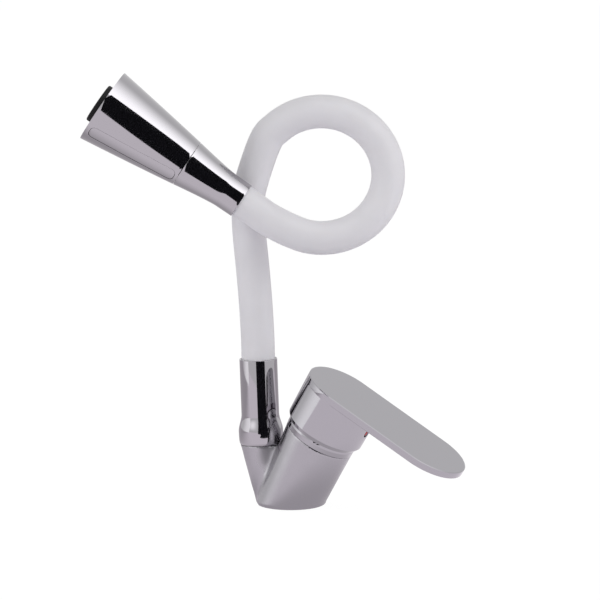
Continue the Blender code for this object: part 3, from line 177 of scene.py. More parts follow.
# %% Frame of the spray head
STRIP_ANGLE = math.radians(39.0)
facing = Vector((math.sin(LOOP_TURN), -math.cos(LOOP_TURN), 0.0))
facing = (facing - head_direction * facing.dot(head_direction)).normalized()
below = facing.cross(head_direction).normalized()
if below.z > 0.0:
    below.negate()
strip_side = facing * math.cos(STRIP_ANGLE) + below * math.sin(STRIP_ANGLE)
HEAD = Matrix.Translation(head_rear) @ Matrix(
    (strip_side, head_direction.cross(strip_side), head_direction)).transposed().to_4x4()
print("the mode lever faces", [round(v, 4) for v in strip_side])

# %% [markdown]
# ## Camera and studio
# The photograph looks at the faucet from a little above and from the lever's side, with a
# long lens. The camera looks level along that line of sight.

# %% Camera
VIEW_TURN = math.radians(25.0)
VIEW_RISE = math.radians(10.0)
VIEW_DISTANCE = 4.0
VIEW_TARGET = Vector((-0.0041, 0.0223, 0.1243))
VIEW_HEIGHT = 0.372
SENSOR = 36.0

toward = Vector((math.sin(VIEW_TURN) * math.cos(VIEW_RISE),
                 -math.cos(VIEW_TURN) * math.cos(VIEW_RISE), math.sin(VIEW_RISE)))
bpy.ops.object.camera_add(location=VIEW_TARGET + toward * VIEW_DISTANCE,
                          rotation=(math.pi / 2 - VIEW_RISE, 0.0, VIEW_TURN))
camera = bpy.context.object
camera.data.sensor_width = SENSOR
camera.data.lens = SENSOR * VIEW_DISTANCE / VIEW_HEIGHT
bpy.context.scene.camera = camera
bpy.context.scene.view_settings.view_transform = "Standard"
print("lens", round(camera.data.lens, 1), "mm")

# %% [markdown]
# ## Colours and nodes
# Colours are written as the hex codes that a designer would read off, and turned into the
# linear numbers that the renderer works in. One small function adds a node.

# %% Colour and node helpers
def hex_colour(code):
    """Linear colour of an sRGB hex code."""
    parts = [int(code[i:i + 2], 16) / 255 for i in (0, 2, 4)]
    linear = [c / 12.92 if c <= 0.04045 else ((c + 0.055) / 1.055) ** 2.4 for c in parts]
    return (*linear, 1.0)


def add_node(tree, kind, inputs=None, **settings):
    """Add a node, set it up, and link or set its inputs."""
    node = tree.nodes.new(kind)
    for name, value in settings.items():
        setattr(node, name, value)
    for name, value in (inputs or {}).items():
        if isinstance(value, bpy.types.NodeSocket):
            tree.links.new(value, node.inputs[name])
        else:
            node.inputs[name].default_value = value
    return node


def new_material(name, colour, metallic, roughness):
    """A material with its plain values on the shader's own sockets."""
    material = bpy.data.materials.new(name)
    material.use_nodes = True
    shader = material.node_tree.nodes["Principled BSDF"]
    shader.inputs["Base Color"].default_value = hex_colour(colour)
    shader.inputs["Metallic"].default_value = metallic
    shader.inputs["Roughness"].default_value = roughness
    return material, material.node_tree, shader


def millimetres(size):
    """Scale of a noise on Object coordinates whose grains are that many millimetres."""
    return 1000.0 / size


# %% [markdown]
# ## Chrome
# Bright chrome plate is a thin, hard, bluish metal over polished zinc or plastic. It is a
# mirror. Only two things keep it from being perfect: the slow waves left by the polishing
# wheel, a centimetre or so apart, and the faint haze of fine wipe marks.

# %% Chrome plate
def chrome_plate(name, colour, wave_depth, sharpest, haziest):
    """Mirror plate whose waves are that deep and whose haze lies between two limits."""
    material, tree, shader = new_material(name, colour, 1.0, sharpest)
    place = add_node(tree, "ShaderNodeTexCoord")
    haze = add_node(tree, "ShaderNodeTexNoise", {
        "Vector": place.outputs["Object"], "Scale": millimetres(9.0), "Detail": 4.0,
        "Roughness": 0.6})
    blur = add_node(tree, "ShaderNodeMapRange", {
        "Value": haze.outputs["Fac"], "From Min": 0.3, "From Max": 0.7,
        "To Min": sharpest, "To Max": haziest})
    wave = add_node(tree, "ShaderNodeTexNoise", {
        "Vector": place.outputs["Object"], "Scale": millimetres(14.0), "Detail": 1.0})
    bump = add_node(tree, "ShaderNodeBump", {
        "Height": wave.outputs["Fac"], "Strength": 1.0, "Distance": wave_depth})
    tree.links.new(blur.outputs["Result"], shader.inputs["Roughness"])
    tree.links.new(bump.outputs["Normal"], shader.inputs["Normal"])
    return material


cast_chrome = chrome_plate("chrome_on_cast_zinc", "A9A7AC", 0.00002, 0.20, 0.27)

# the wheel can't reach down between the branches, so the plate stays hazy there
VALLEY_FLOOR = RISER @ Vector((0.0110, -0.0080, -0.0060))
HAZY_REACH = (0.004, 0.013)
HAZY_ROUGHNESS = (0.55, 0.20)
tree = cast_chrome.node_tree
shader = tree.nodes["Principled BSDF"]
place = add_node(tree, "ShaderNodeTexCoord")
away = add_node(tree, "ShaderNodeVectorMath", {
    0: place.outputs["Object"], 1: VALLEY_FLOOR}, operation="DISTANCE")
unpolished = add_node(tree, "ShaderNodeMapRange", {
    "Value": away.outputs["Value"], "From Min": HAZY_REACH[0], "From Max": HAZY_REACH[1],
    "To Min": HAZY_ROUGHNESS[0], "To Max": HAZY_ROUGHNESS[1]},
    interpolation_type="SMOOTHSTEP")
hazier = add_node(tree, "ShaderNodeMath", {
    0: shader.inputs["Roughness"].links[0].from_socket, 1: unpolished.outputs["Result"]},
    operation="MAXIMUM")
tree.links.new(hazier.outputs[0], shader.inputs["Roughness"])

lever_chrome = chrome_plate("chrome_on_lever", "A9A7AC", 0.00001, 0.05, 0.09)
turned_chrome = chrome_plate("chrome_on_turned_brass", "AEABB0", 0.00001, 0.04, 0.08)
moulded_chrome = chrome_plate("chrome_on_moulded_abs", "ADABAF", 0.00001, 0.04, 0.08)

# %% [markdown]
# ## Silicone
# The sleeve is extruded food-grade silicone: milky, soft and slightly see-through, so
# light spreads in it and rounds its shading. Its skin is matt, with a fine tooth from the
# die and a little dust that silicone always gathers.

# %% Milky silicone
silicone, tree, shader = new_material("extruded_milky_silicone", "EBE9ED", 0.0, 0.46)
shader.inputs["IOR"].default_value = 1.41
shader.inputs["Subsurface Weight"].default_value = 0.35
shader.inputs["Subsurface Radius"].default_value = (1.0, 0.95, 0.9)
shader.inputs["Subsurface Scale"].default_value = 0.004
place = add_node(tree, "ShaderNodeTexCoord")
cloud = add_node(tree, "ShaderNodeTexNoise", {
    "Vector": place.outputs["Object"], "Scale": millimetres(22.0), "Detail": 3.0})
milk = add_node(tree, "ShaderNodeMixRGB", {
    "Fac": cloud.outputs["Fac"], "Color1": hex_colour("E6E4E8"),
    "Color2": hex_colour("F0EEF2")})
tooth = add_node(tree, "ShaderNodeTexNoise", {
    "Vector": place.outputs["Object"], "Scale": millimetres(0.7), "Detail": 2.0})
skin = add_node(tree, "ShaderNodeBump", {
    "Height": tooth.outputs["Fac"], "Strength": 0.25, "Distance": 0.00004})
dust = add_node(tree, "ShaderNodeMapRange", {
    "Value": tooth.outputs["Fac"], "To Min": 0.40, "To Max": 0.54})
tree.links.new(milk.outputs["Color"], shader.inputs["Base Color"])
tree.links.new(dust.outputs["Result"], shader.inputs["Roughness"])
tree.links.new(skin.outputs["Normal"], shader.inputs["Normal"])


# %% [markdown]
# ## The other finishes
# Inside are brass, stainless steel, alumina, rubber and moulded plastics. Each has one
# grain that tells it apart: turning marks, drawing lines, a lapped face or the fine sparks
# of a spark-eroded mould.

# %% Grained finishes
def grained(name, colour, metallic, roughness, grain, depth, stretch=(1.0, 1.0, 1.0)):
    """A finish whose grain, in millimetres, varies its gloss and lifts its surface."""
    material, tree, shader = new_material(name, colour, metallic, roughness)
    place = add_node(tree, "ShaderNodeTexCoord")
    laid = add_node(tree, "ShaderNodeMapping", {
        "Vector": place.outputs["Object"], "Scale": stretch})
    noise = add_node(tree, "ShaderNodeTexNoise", {
        "Vector": laid.outputs["Vector"], "Scale": millimetres(grain), "Detail": 3.0})
    gloss = add_node(tree, "ShaderNodeMapRange", {
        "Value": noise.outputs["Fac"], "To Min": roughness * 0.85, "To Max": roughness * 1.15})
    tone = add_node(tree, "ShaderNodeHueSaturation", {"Color": hex_colour(colour)})
    shade = add_node(tree, "ShaderNodeMapRange", {
        "Value": noise.outputs["Fac"], "To Min": 0.9, "To Max": 1.1})
    bump = add_node(tree, "ShaderNodeBump", {
        "Height": noise.outputs["Fac"], "Strength": 0.6, "Distance": depth})
    tree.links.new(shade.outputs["Result"], tone.inputs["Value"])
    tree.links.new(tone.outputs["Color"], shader.inputs["Base Color"])
    tree.links.new(gloss.outputs["Result"], shader.inputs["Roughness"])
    tree.links.new(bump.outputs["Normal"], shader.inputs["Normal"])
    return material


FINISHES = {
    # free-machining brass, turned: a warm metal with rings a third of a millimetre apart
    "brass": grained("turned_brass", "D8B878", 1.0, 0.28, 0.33, 0.00001, (0.2, 0.2, 1.0)),
    # drawn stainless steel: cool grey lines along the wire or strip
    "steel": grained("drawn_stainless_steel", "B4B6B8", 1.0, 0.30, 0.25, 0.00001),
    # lapped alumina: dense, pale and finely satin
    "alumina": grained("lapped_alumina", "ECEAE4", 0.0, 0.22, 0.5, 0.000004),
    # moulded nitrile rubber: black, with a soft bloom
    "black_rubber": grained("moulded_nitrile_rubber", "26262A", 0.0, 0.62, 0.4, 0.00002),
    # acetal for the cartridge: grey and slightly waxy
    "grey_plastic": grained("moulded_acetal", "8A8C90", 0.0, 0.42, 0.4, 0.00001),
    # polyethylene and acetal in white: the water's own path
    "white_plastic": grained("moulded_white_acetal", "E6E6E2", 0.0, 0.38, 0.5, 0.00001),
    # satin ABS for the spray face
    "black_plastic": grained("moulded_black_abs", "0E0E10", 0.0, 0.5, 0.35, 0.00001),
    # glossy polystyrene dots that show hot and cold
    "red_plastic": grained("red_polystyrene", "C8242C", 0.0, 0.22, 0.8, 0.000004),
    "blue_plastic": grained("blue_polystyrene", "2448B4", 0.0, 0.22, 0.8, 0.000004),
    "chrome_body": cast_chrome,
    "chrome_trim": turned_chrome,
    "chrome_lever": lever_chrome,
    "chrome_head": moulded_chrome,
    "white_silicone": silicone,
}
# the black face is spark-eroded so coarsely that it hardly shines
matt = FINISHES["black_plastic"].node_tree.nodes["Principled BSDF"]
matt.inputs["Specular IOR Level"].default_value = 0.2
slots = {part["node"]: part["material_slot"] for part in frame["record"]["subparts"]}
for name, node in frame["nodes"].items():
    node.data.materials.clear()
    node.data.materials.append(FINISHES[slots[name]])
print(len(slots), "CAD nodes have their finish")

# %% [markdown]
# ## Tools of the workshop
# Most of a faucet is turned on a lathe. Turning is easy by hand: add a circle, then pull
# it up and scale it, again and again, along the profile. A profile that comes back to its
# start makes a closed wall.

# %% Turning, cutting and placing
HAIR = 0.000001
CUT_EDGE = 0.0001
TURNED_EDGE = 0.0002
SOFT_EDGE = 0.0003


def pick(piece):
    """Make a piece the active one and the only one selected."""
    bpy.ops.object.select_all(action="DESELECT")
    bpy.context.view_layer.objects.active = piece
    piece.select_set(True)


def settle(piece, at, finish, sharp=30.0):
    """Lay the piece along its axis, apply its place, and shade it."""
    pick(piece)
    piece.matrix_world = at
    bpy.ops.object.transform_apply(location=True, rotation=True, scale=True)
    bpy.ops.object.shade_smooth_by_angle(angle=math.radians(sharp))
    piece.data.materials.clear()
    piece.data.materials.append(finish)


def apply_modifier(piece, kind, **settings):
    """Add a modifier, set it and apply it."""
    pick(piece)
    modifier = piece.modifiers.new(kind.lower(), kind)
    for name, value in settings.items():
        setattr(modifier, name, value)
    bpy.ops.object.modifier_apply(modifier=modifier.name)


def round_edges(piece, width, segments=3, angle=35.0):
    """Round the edges that turn by more than an angle, in degrees."""
    apply_modifier(piece, "BEVEL", width=width, segments=segments, limit_method="ANGLE",
                   angle_limit=math.radians(angle))


def edit(selected="SELECT"):
    """Start to edit the active piece, with all or nothing of it selected."""
    bpy.ops.object.mode_set(mode="EDIT")
    bpy.ops.mesh.select_all(action=selected)


def close_skin(weld=0.0):
    """Weld near points, turn all faces outwards and stop editing."""
    bpy.ops.mesh.select_all(action="SELECT")
    if weld:
        bpy.ops.mesh.remove_doubles(threshold=weld)
    bpy.ops.mesh.normals_make_consistent(inside=False)
    bpy.ops.object.mode_set(mode="OBJECT")


def lathe(name, rings, sides=96, ends="joined"):
    """Pull a circle through (radius, height) rings, back to the first if joined."""
    if ends == "joined":
        rings = rings + rings[:1]
    radius, height = rings[0]
    bpy.ops.mesh.primitive_circle_add(vertices=sides, radius=radius, location=(0, 0, height))
    piece = bpy.context.object
    piece.name = name
    bpy.ops.object.transform_apply(location=True)
    edit()
    if ends == "filled":
        bpy.ops.mesh.edge_face_add()
        bpy.ops.mesh.select_all(action="SELECT")
    for (r0, h0), (r1, h1) in zip(rings, rings[1:]):
        bpy.ops.mesh.extrude_region_move(TRANSFORM_OT_translate={"value": (0, 0, h1 - h0)})
        bpy.ops.transform.resize(value=(r1 / r0, r1 / r0, 1.0), center_override=(0, 0, h1))
    close_skin(2 * HAIR if ends == "joined" else 0.0)
    return piece


def cut(piece, *cutters, operation="DIFFERENCE"):
    """Boolean the cutters into a piece, one by one, and throw them away."""
    for cutter in cutters:
        apply_modifier(piece, "BOOLEAN", operation=operation, object=cutter, solver="EXACT")
        bpy.data.objects.remove(cutter)


def drill(radius, low, high, at=Matrix.Identity(4), sides=48):
    """A cylinder to cut with, between two heights of a frame."""
    bpy.ops.mesh.primitive_cylinder_add(vertices=sides, radius=radius, depth=high - low,
                                        location=(0, 0, (low + high) / 2))
    tool = bpy.context.object
    bpy.ops.object.transform_apply(location=True)
    tool.matrix_world = at
    bpy.ops.object.transform_apply(location=True, rotation=True, scale=True)
    return tool


def block(centre, size):
    """A box to cut or join with."""
    bpy.ops.mesh.primitive_cube_add(size=1.0, location=centre)
    tool = bpy.context.object
    tool.scale = size
    bpy.ops.object.transform_apply(location=True, scale=True)
    return tool


def ease_between(start, end, count):
    """Points on a soft S between two (radius, height) points, the end one included."""
    points = []
    for i in range(1, count + 1):
        share = i / count
        soft = share * share * (3.0 - 2.0 * share)
        points.append((start[0] + (end[0] - start[0]) * soft,
                       start[1] + (end[1] - start[1]) * share))
    return points


# %% [markdown]
# ## The hose
# The real hose is a silicone sleeve drawn over a posable core, with the water's tube inside.
# A curve through the route, given a radius, is how a long soft tube is drawn most evenly.
# It then becomes a mesh and gets its wall.

# %% Silicone hose
HOSE_SPACING = 0.0020
LOOSE_FIT = 0.0004
CORE_WALL = 0.0012
TUBE_WALL = 0.0015
hose_path = smooth_path(route, HOSE_SPACING)


def tube_along(name, radius, wall, roundness, finish):
    """A round tube along the hose's path."""
    bpy.ops.curve.primitive_nurbs_path_add()
    piece = bpy.context.object
    piece.name = name
    piece.data.splines.clear()
    line = piece.data.splines.new("POLY")
    line.points.add(len(hose_path) - 1)
    for point, spot in zip(line.points, hose_path):
        point.co = (*spot, 1.0)
    piece.data.dimensions = "3D"
    piece.data.bevel_depth = radius
    piece.data.bevel_resolution = roundness
    bpy.ops.object.convert(target="MESH")
    edit()
    close_skin(5 * HAIR)
    apply_modifier(piece, "SOLIDIFY", thickness=wall, offset=-1.0)
    settle(piece, Matrix.Identity(4), finish, 50.0)
    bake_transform(piece)
    return piece


hose = tube_along("silicone_hose", HOSE_RADIUS, SLEEVE_WALL, 14, silicone)
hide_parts("hose_sleeve_lower", "hose_sleeve_upper")
core_radius = HOSE_RADIUS - SLEEVE_WALL - LOOSE_FIT
core = tube_along("posable_core", core_radius, CORE_WALL, 6, FINISHES["steel"])
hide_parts("gooseneck_core")
tube_radius = core_radius - CORE_WALL - LOOSE_FIT
water_tube = tube_along("inner_tube", tube_radius, TUBE_WALL, 6, FINISHES["white_plastic"])
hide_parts("water_tube")
hose_length = sum((b - a).length for a, b in zip(hose_path, hose_path[1:]))
print("hose", round(hose_length * 1000), "mm long,", len(hose.data.polygons), "faces")

# %% [markdown]
# ## The collar of the spout
# A bell of chromed brass, turned from bar. Its neck is straight and grips the hose. Below,
# it swells to a belly that covers the swivel, and its foot closes on the casting.

# %% Spout collar
FOOT_RADIUS = 0.0130
BELLY = (0.0138, 0.0080)
NECK = (0.0117, 0.0186)
SPIGOT_RADIUS = 0.0090
FLANGE_BORE = (0.0119, 0.0021)
FERRULE_LENGTH = 0.0040
SHELF = COLLAR_LENGTH - HOSE_INSERT - FERRULE_LENGTH
CLIP_SEAT = SHELF * 0.5656
CLIP_BORE = (0.0104, SHELF * 0.7375)
TAIL_BORE = (0.0063, SHELF)
FOOT_SWELL = ((0.00040, 0.12), (0.00062, 0.30), (0.00075, 0.60))
outside = [(FOOT_RADIUS, JOINT)]
outside += [(FOOT_RADIUS + swell, BELLY[1] * share) for swell, share in FOOT_SWELL]
outside += [BELLY] + ease_between(BELLY, NECK, 14) + [(NECK[0], COLLAR_LENGTH)]
inside = [(HOSE_RADIUS + GAP, COLLAR_LENGTH), (HOSE_RADIUS + GAP, TAIL_BORE[1]), TAIL_BORE,
          (TAIL_BORE[0], CLIP_BORE[1]), CLIP_BORE, (CLIP_BORE[0], CLIP_SEAT),
          (SPIGOT_RADIUS + GAP, CLIP_SEAT), (SPIGOT_RADIUS + GAP, FLANGE_BORE[1]), FLANGE_BORE,
          (FLANGE_BORE[0], JOINT)]
collar = lathe("spout_collar_bell", outside + inside)
round_edges(collar, TURNED_EDGE)
settle(collar, RISER, turned_chrome)
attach(collar, "spout")
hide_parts("spout_collar")

# %% [markdown]
# ## The casting
# The body is one zinc casting: a round foot from which a slanted barrel and a short riser
# grow, with a soft valley where they part. Each branch is pulled up from a circle. Then the
# two are joined, and the valley is rounded as the mould maker's ball cutter leaves it.

# %% Barrel and riser
BASE_RADIUS = 0.0220
BASE_EDGE = 0.0020
BARREL_RADIUS = 0.0223
BARREL_TOP = 0.0503
RISER_RADIUS = 0.0130
ROOT_HEIGHT = 0.0011
ROOT_LENGTH = 0.0100
ROOT_WIDTH = 0.0104
ROOT_SHARE = 0.667
WEB_ROOT = 0.0065
WEB_RADIUS = 0.0100
WEB_SHIFT = 0.0060
ROOT_INSET = 0.0004
EDGE_STEPS = 6


def branch(name, rings, at, radius, height, turn):
    """Pull rings up from the foot, then the last one onto the end of a slanted axis."""
    piece = lathe(name, rings, ends="filled")
    edit("DESELECT")
    bpy.ops.object.mode_set(mode="OBJECT")
    top = max(v.co.z for v in piece.data.vertices)
    for face in piece.data.polygons:
        face.select = all(piece.data.vertices[i].co.z > top - HAIR for i in face.vertices)
    bpy.ops.object.mode_set(mode="EDIT")
    end = at @ Vector((0.0, 0.0, height))
    last_radius, last_height = rings[-1]
    bpy.ops.mesh.extrude_region_move(
        TRANSFORM_OT_translate={"value": (end.x, end.y, end.z - last_height)})
    bpy.ops.transform.resize(value=(radius / last_radius,) * 3, center_override=tuple(end))
    bpy.ops.transform.rotate(value=-turn, orient_axis="Y", center_override=tuple(end))
    close_skin()
    return piece


base = []
for i in range(EDGE_STEPS + 1):
    turn = math.pi / 2 * i / EDGE_STEPS
    base.append((BASE_RADIUS - BASE_EDGE * (1.0 - math.sin(turn)),
                 BASE_EDGE * (1.0 - math.cos(turn))))
body = branch("cast_body", base, BARREL, BARREL_RADIUS, BARREL_TOP, BARREL_LEAN)
riser = branch("riser_branch", [(ROOT_LENGTH, ROOT_HEIGHT)], RISER, RISER_RADIUS, 0.0,
               RISER_LEAN)
# the riser's root is squarer than a circle, so that it fills the foot's rear
for vertex in riser.data.vertices:
    if vertex.co.z < ROOT_HEIGHT + GAP:
        along, across = vertex.co.x / ROOT_LENGTH, vertex.co.y / ROOT_LENGTH
        vertex.co.x = (ROOT_LENGTH * math.copysign(abs(along) ** ROOT_SHARE, along)
                       + ROOT_LENGTH + ROOT_INSET - BASE_RADIUS)
        vertex.co.y = ROOT_WIDTH * math.copysign(abs(across) ** ROOT_SHARE, across)
# a thin web fills the deepest part of the valley
web = branch("web_branch", [(WEB_ROOT, ROOT_HEIGHT)],
             RISER @ Matrix.Translation((WEB_SHIFT, 0.0, -GAP)), WEB_RADIUS, 0.0, RISER_LEAN)
cut(body, riser, web, operation="UNION")
print("casting", len(body.data.polygons), "faces")

# %% [markdown]
# The crease is found by its sharp edges. The skin is then remade in small even faces and
# smoothed most near the crease. The riser's rim and the sole of the foot keep their edges.

# %% Valley between the branches
SHARP = math.radians(14.0)
CREASE_HEIGHTS = (0.006, 0.0385)
CREASE_FRONT = 0.004
CREASE_PARTS = 8
GRAIN = 0.00045
VALLEY_REACH = 0.0085
VALLEY_STROKES = 260
RIM_KEPT = 0.0006
RIM_FADE = 0.0025
FOOT_KEPT = 0.0004
SKIN_STROKES = 6
pick(body)
edit("DESELECT")
bpy.ops.mesh.select_mode(type="EDGE")
bpy.ops.mesh.edges_select_sharp(sharpness=SHARP)
bpy.ops.object.mode_set(mode="OBJECT")
crease = []
for edge in body.data.edges:
    ends = [body.data.vertices[i].co for i in edge.vertices]
    if edge.select and all(CREASE_HEIGHTS[0] < end.z < CREASE_HEIGHTS[1]
                           and end.x < CREASE_FRONT for end in ends):
        crease += [ends[0].lerp(ends[1], i / CREASE_PARTS) for i in range(CREASE_PARTS + 1)]
apply_modifier(body, "REMESH", mode="VOXEL", voxel_size=GRAIN)
nearest = KDTree(len(crease))
for i, spot in enumerate(crease):
    nearest.insert(spot, i)
nearest.balance()
valley = body.vertex_groups.new(name="valley")
skin_group = body.vertex_groups.new(name="skin")
for vertex in body.data.vertices:
    away = nearest.find(vertex.co)[2]
    below_rim = -(RISER.inverted() @ vertex.co).z
    free = min(1.0, max(0.0, (below_rim - RIM_KEPT) / RIM_FADE))
    if away < VALLEY_REACH and free > 0.0:
        valley.add([vertex.index], free * (1.0 - (away / VALLEY_REACH) ** 2), "REPLACE")
    if vertex.co.z > FOOT_KEPT:
        skin_group.add([vertex.index], 1.0, "REPLACE")
apply_modifier(body, "SMOOTH", factor=0.5, iterations=VALLEY_STROKES, vertex_group="valley")
apply_modifier(body, "SMOOTH", factor=0.5, iterations=SKIN_STROKES, vertex_group="skin")
print("crease points", len(crease), "casting", len(body.data.polygons), "faces")

# %% [markdown]
# The bores come last, as they do in the workshop: the seat of the cartridge, the bore of
# the swivel, then the ports, the stud hole and the gasket's groove under the foot.

# %% Bores of the casting
BORES = {  # radius, low end, high end and frame of each
    "cartridge": (0.0176, 0.0255, BARREL_TOP + 0.004, BARREL),
    "swivel": (0.0075, -0.0100, 0.004, RISER),
    "waterway": (0.0044, -0.0190, -0.008, RISER),
    "rear port": (0.0046, -0.002, 0.0130, Matrix.Translation((0.0093, 0.0074, 0.0))),
    "front port": (0.0046, -0.002, 0.0130, Matrix.Translation((0.0093, -0.0074, 0.0))),
    "stud hole": (0.0042, -0.002, 0.0120, Matrix.Translation((-0.0100, 0.0, 0.0))),
}
cut(body, *[drill(*bore) for bore in BORES.values()])
GROOVE_RADII = (0.0171, 0.0201)
GROOVE_ENDS = (-0.002, 0.0015)
corners = ((0, 0), (0, 1), (1, 1), (1, 0))
cut(body, lathe("groove", [(GROOVE_RADII[i], GROOVE_ENDS[j]) for i, j in corners]))
settle(body, Matrix.Identity(4), cast_chrome, 40.0)
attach(body, "base")
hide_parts("body_casting")

# %% [markdown]
# ## Dome ring and lever
# The ring covers the cartridge: a band on the barrel, then a dome that the lever's skirt
# passes over.

# %% Dome ring
DOME_RADIUS = 0.0227
DOME_BAND_RADIUS = 0.0224
SEAM = BARREL_TOP + JOINT
BAND_TOP = SEAM + 0.0028
DOME_TOP = 0.0590
DOME_WALL = 0.0018
DOME_HOLE = 0.0132
RING_BORE = 0.0172
RING_STEP = (0.0205, SEAM + 0.0022)
DOME_STEPS = 8
DOME_EDGE = 0.00025


def ball_radius(radius, height):
    """How wide a ball round the lever's pivot is at a height."""
    return math.sqrt(radius ** 2 - (height - PIVOT_HEIGHT) ** 2)


dome = [(DOME_BAND_RADIUS, SEAM), (DOME_BAND_RADIUS, BAND_TOP)]
for i in range(DOME_STEPS + 1):
    height = BAND_TOP + (DOME_TOP - BAND_TOP) * i / DOME_STEPS
    dome.append((ball_radius(DOME_RADIUS, height), height))
under = DOME_TOP - DOME_WALL
dome += [(DOME_HOLE, DOME_TOP), (DOME_HOLE, under),
         (ball_radius(DOME_RADIUS - DOME_WALL, under), under), RING_STEP,
         (RING_BORE, RING_STEP[1]), (RING_BORE, SEAM)]
dome_ring = lathe("dome_ring_cover", dome)
round_edges(dome_ring, DOME_EDGE, 2, 25.0)
settle(dome_ring, BARREL, lever_chrome)
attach(dome_ring, "base")
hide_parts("dome_ring")

# %% [markdown]
# The lever is a flat bar with round ends on a hollow hub. The bar starts as half a disc,
# is pulled out to its length and up to its thickness, and gets a second disc at its tip.

# %% Bar of the lever
LEVER_RADIUS = 0.0249
LEVER_LIP = 0.0549
LEVER_LIP_RADIUS = 0.0230
LEVER_CHAMFER_TOP = 0.0578
LEVER_CAVITY = (0.0228, 0.0805)
PLATE_TOP = 0.0862
PLATE_THICKNESS = 0.0044
PLATE_END_RADIUS = 0.0254
PLATE_REACH = 0.0640
PLATE_EDGE = 0.0005
PLATE_SLOPE = (0.0007, 0.0003)
plate_bottom = PLATE_TOP - PLATE_THICKNESS
plate_shoulder = PLATE_TOP - PLATE_SLOPE[1]

bpy.ops.mesh.primitive_circle_add(vertices=128, radius=PLATE_END_RADIUS,
                                  fill_type="NGON", location=(0, 0, plate_bottom))
lever = bpy.context.object
lever.name = "flat_lever"
bpy.ops.object.transform_apply(location=True)
edit()
bpy.ops.mesh.bisect(plane_co=(0, 0, 0), plane_no=(1, 0, 0), clear_outer=True)
bpy.ops.mesh.select_all(action="DESELECT")
bpy.ops.object.mode_set(mode="OBJECT")
for edge in lever.data.edges:
    edge.select = all(abs(lever.data.vertices[i].co.x) < HAIR for i in edge.vertices)
bpy.ops.object.mode_set(mode="EDIT")
bpy.ops.mesh.extrude_region_move(TRANSFORM_OT_translate={"value": (PLATE_REACH, 0, 0)})
bpy.ops.mesh.select_all(action="SELECT")
bpy.ops.mesh.remove_doubles(threshold=HAIR)
bpy.ops.mesh.extrude_region_move(TRANSFORM_OT_translate={
    "value": (0, 0, PLATE_THICKNESS - PLATE_SLOPE[1])})
close_skin()
cut(lever, drill(PLATE_END_RADIUS, plate_bottom, plate_shoulder,
                 Matrix.Translation((PLATE_REACH, 0, 0)), 128), operation="UNION")
edit()
bpy.ops.mesh.remove_doubles(threshold=10 * HAIR)
bpy.ops.mesh.dissolve_limited(angle_limit=math.radians(0.5))
# the top slopes down a little towards its edge, which draws a line of light round the bar
bpy.ops.mesh.select_all(action="DESELECT")
bpy.ops.mesh.select_mode(type="FACE")
bpy.ops.object.mode_set(mode="OBJECT")
for face in lever.data.polygons:
    face.select = face.normal.z > 0.99
bpy.ops.object.mode_set(mode="EDIT")
bpy.ops.mesh.inset(thickness=PLATE_SLOPE[0], depth=PLATE_SLOPE[1])
bpy.ops.mesh.select_mode(type="VERT")
bpy.ops.object.mode_set(mode="OBJECT")
round_edges(lever, PLATE_EDGE, 3, 80.0)
print("bar", len(lever.data.polygons), "faces")

# %% Hub of the lever
FLUSH = PLATE_END_RADIUS - 0.00002
HUB_TOP = plate_shoulder - 0.0002
SHADE_RING = (LEVER_RADIUS + 0.00001, LEVER_CHAMFER_TOP + 0.0006)
LIP_EDGE = 0.00015
BOSS_RADIUS = 0.0095
BOSS_START = 0.0660
SOCKET_WIDTH = 0.0078
SOCKET_ENDS = (0.0640, 0.0793)
SCREW_BORE = (0.0024, 0.0, 0.0115)
PLUG_BORE = (0.0032, 0.0200, 0.0269)
PLUG_HEIGHT = 0.0709
hub = lathe("lever_hub", [(LEVER_CAVITY[0], LEVER_LIP), (LEVER_LIP_RADIUS, LEVER_LIP),
                          (LEVER_RADIUS, LEVER_CHAMFER_TOP), SHADE_RING,
                          (FLUSH, plate_bottom), (FLUSH, HUB_TOP),
                          (LEVER_CAVITY[0], HUB_TOP)], 128)
round_edges(hub, LIP_EDGE, 1)
floor_of_plate = drill(LEVER_CAVITY[0] + GAP, LEVER_CAVITY[1], plate_bottom + GAP)
boss = drill(BOSS_RADIUS, BOSS_START, LEVER_CAVITY[1] + GAP)
cut(lever, hub, floor_of_plate, boss, operation="UNION")
cut(lever, block((0, 0, (SOCKET_ENDS[0] + SOCKET_ENDS[1]) / 2),
                 (SOCKET_WIDTH, SOCKET_WIDTH, SOCKET_ENDS[1] - SOCKET_ENDS[0])))
FACING_X = Matrix.Rotation(math.pi / 2, 4, "Y")
PLUG_AT = Matrix.Translation((0.0, 0.0, PLUG_HEIGHT)) @ FACING_X
cut(lever, drill(*SCREW_BORE, PLUG_AT, 24), drill(*PLUG_BORE, PLUG_AT))
settle(lever, BARREL, lever_chrome, 20.0)
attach(lever, "lever")
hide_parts("lever_handle")
print("lever", len(lever.data.polygons), "faces")

# %% [markdown]
# The dot that tells hot from cold is two small domed halves in a black plug, under the bar.
# Each is turned whole, and the other half is then cut away.

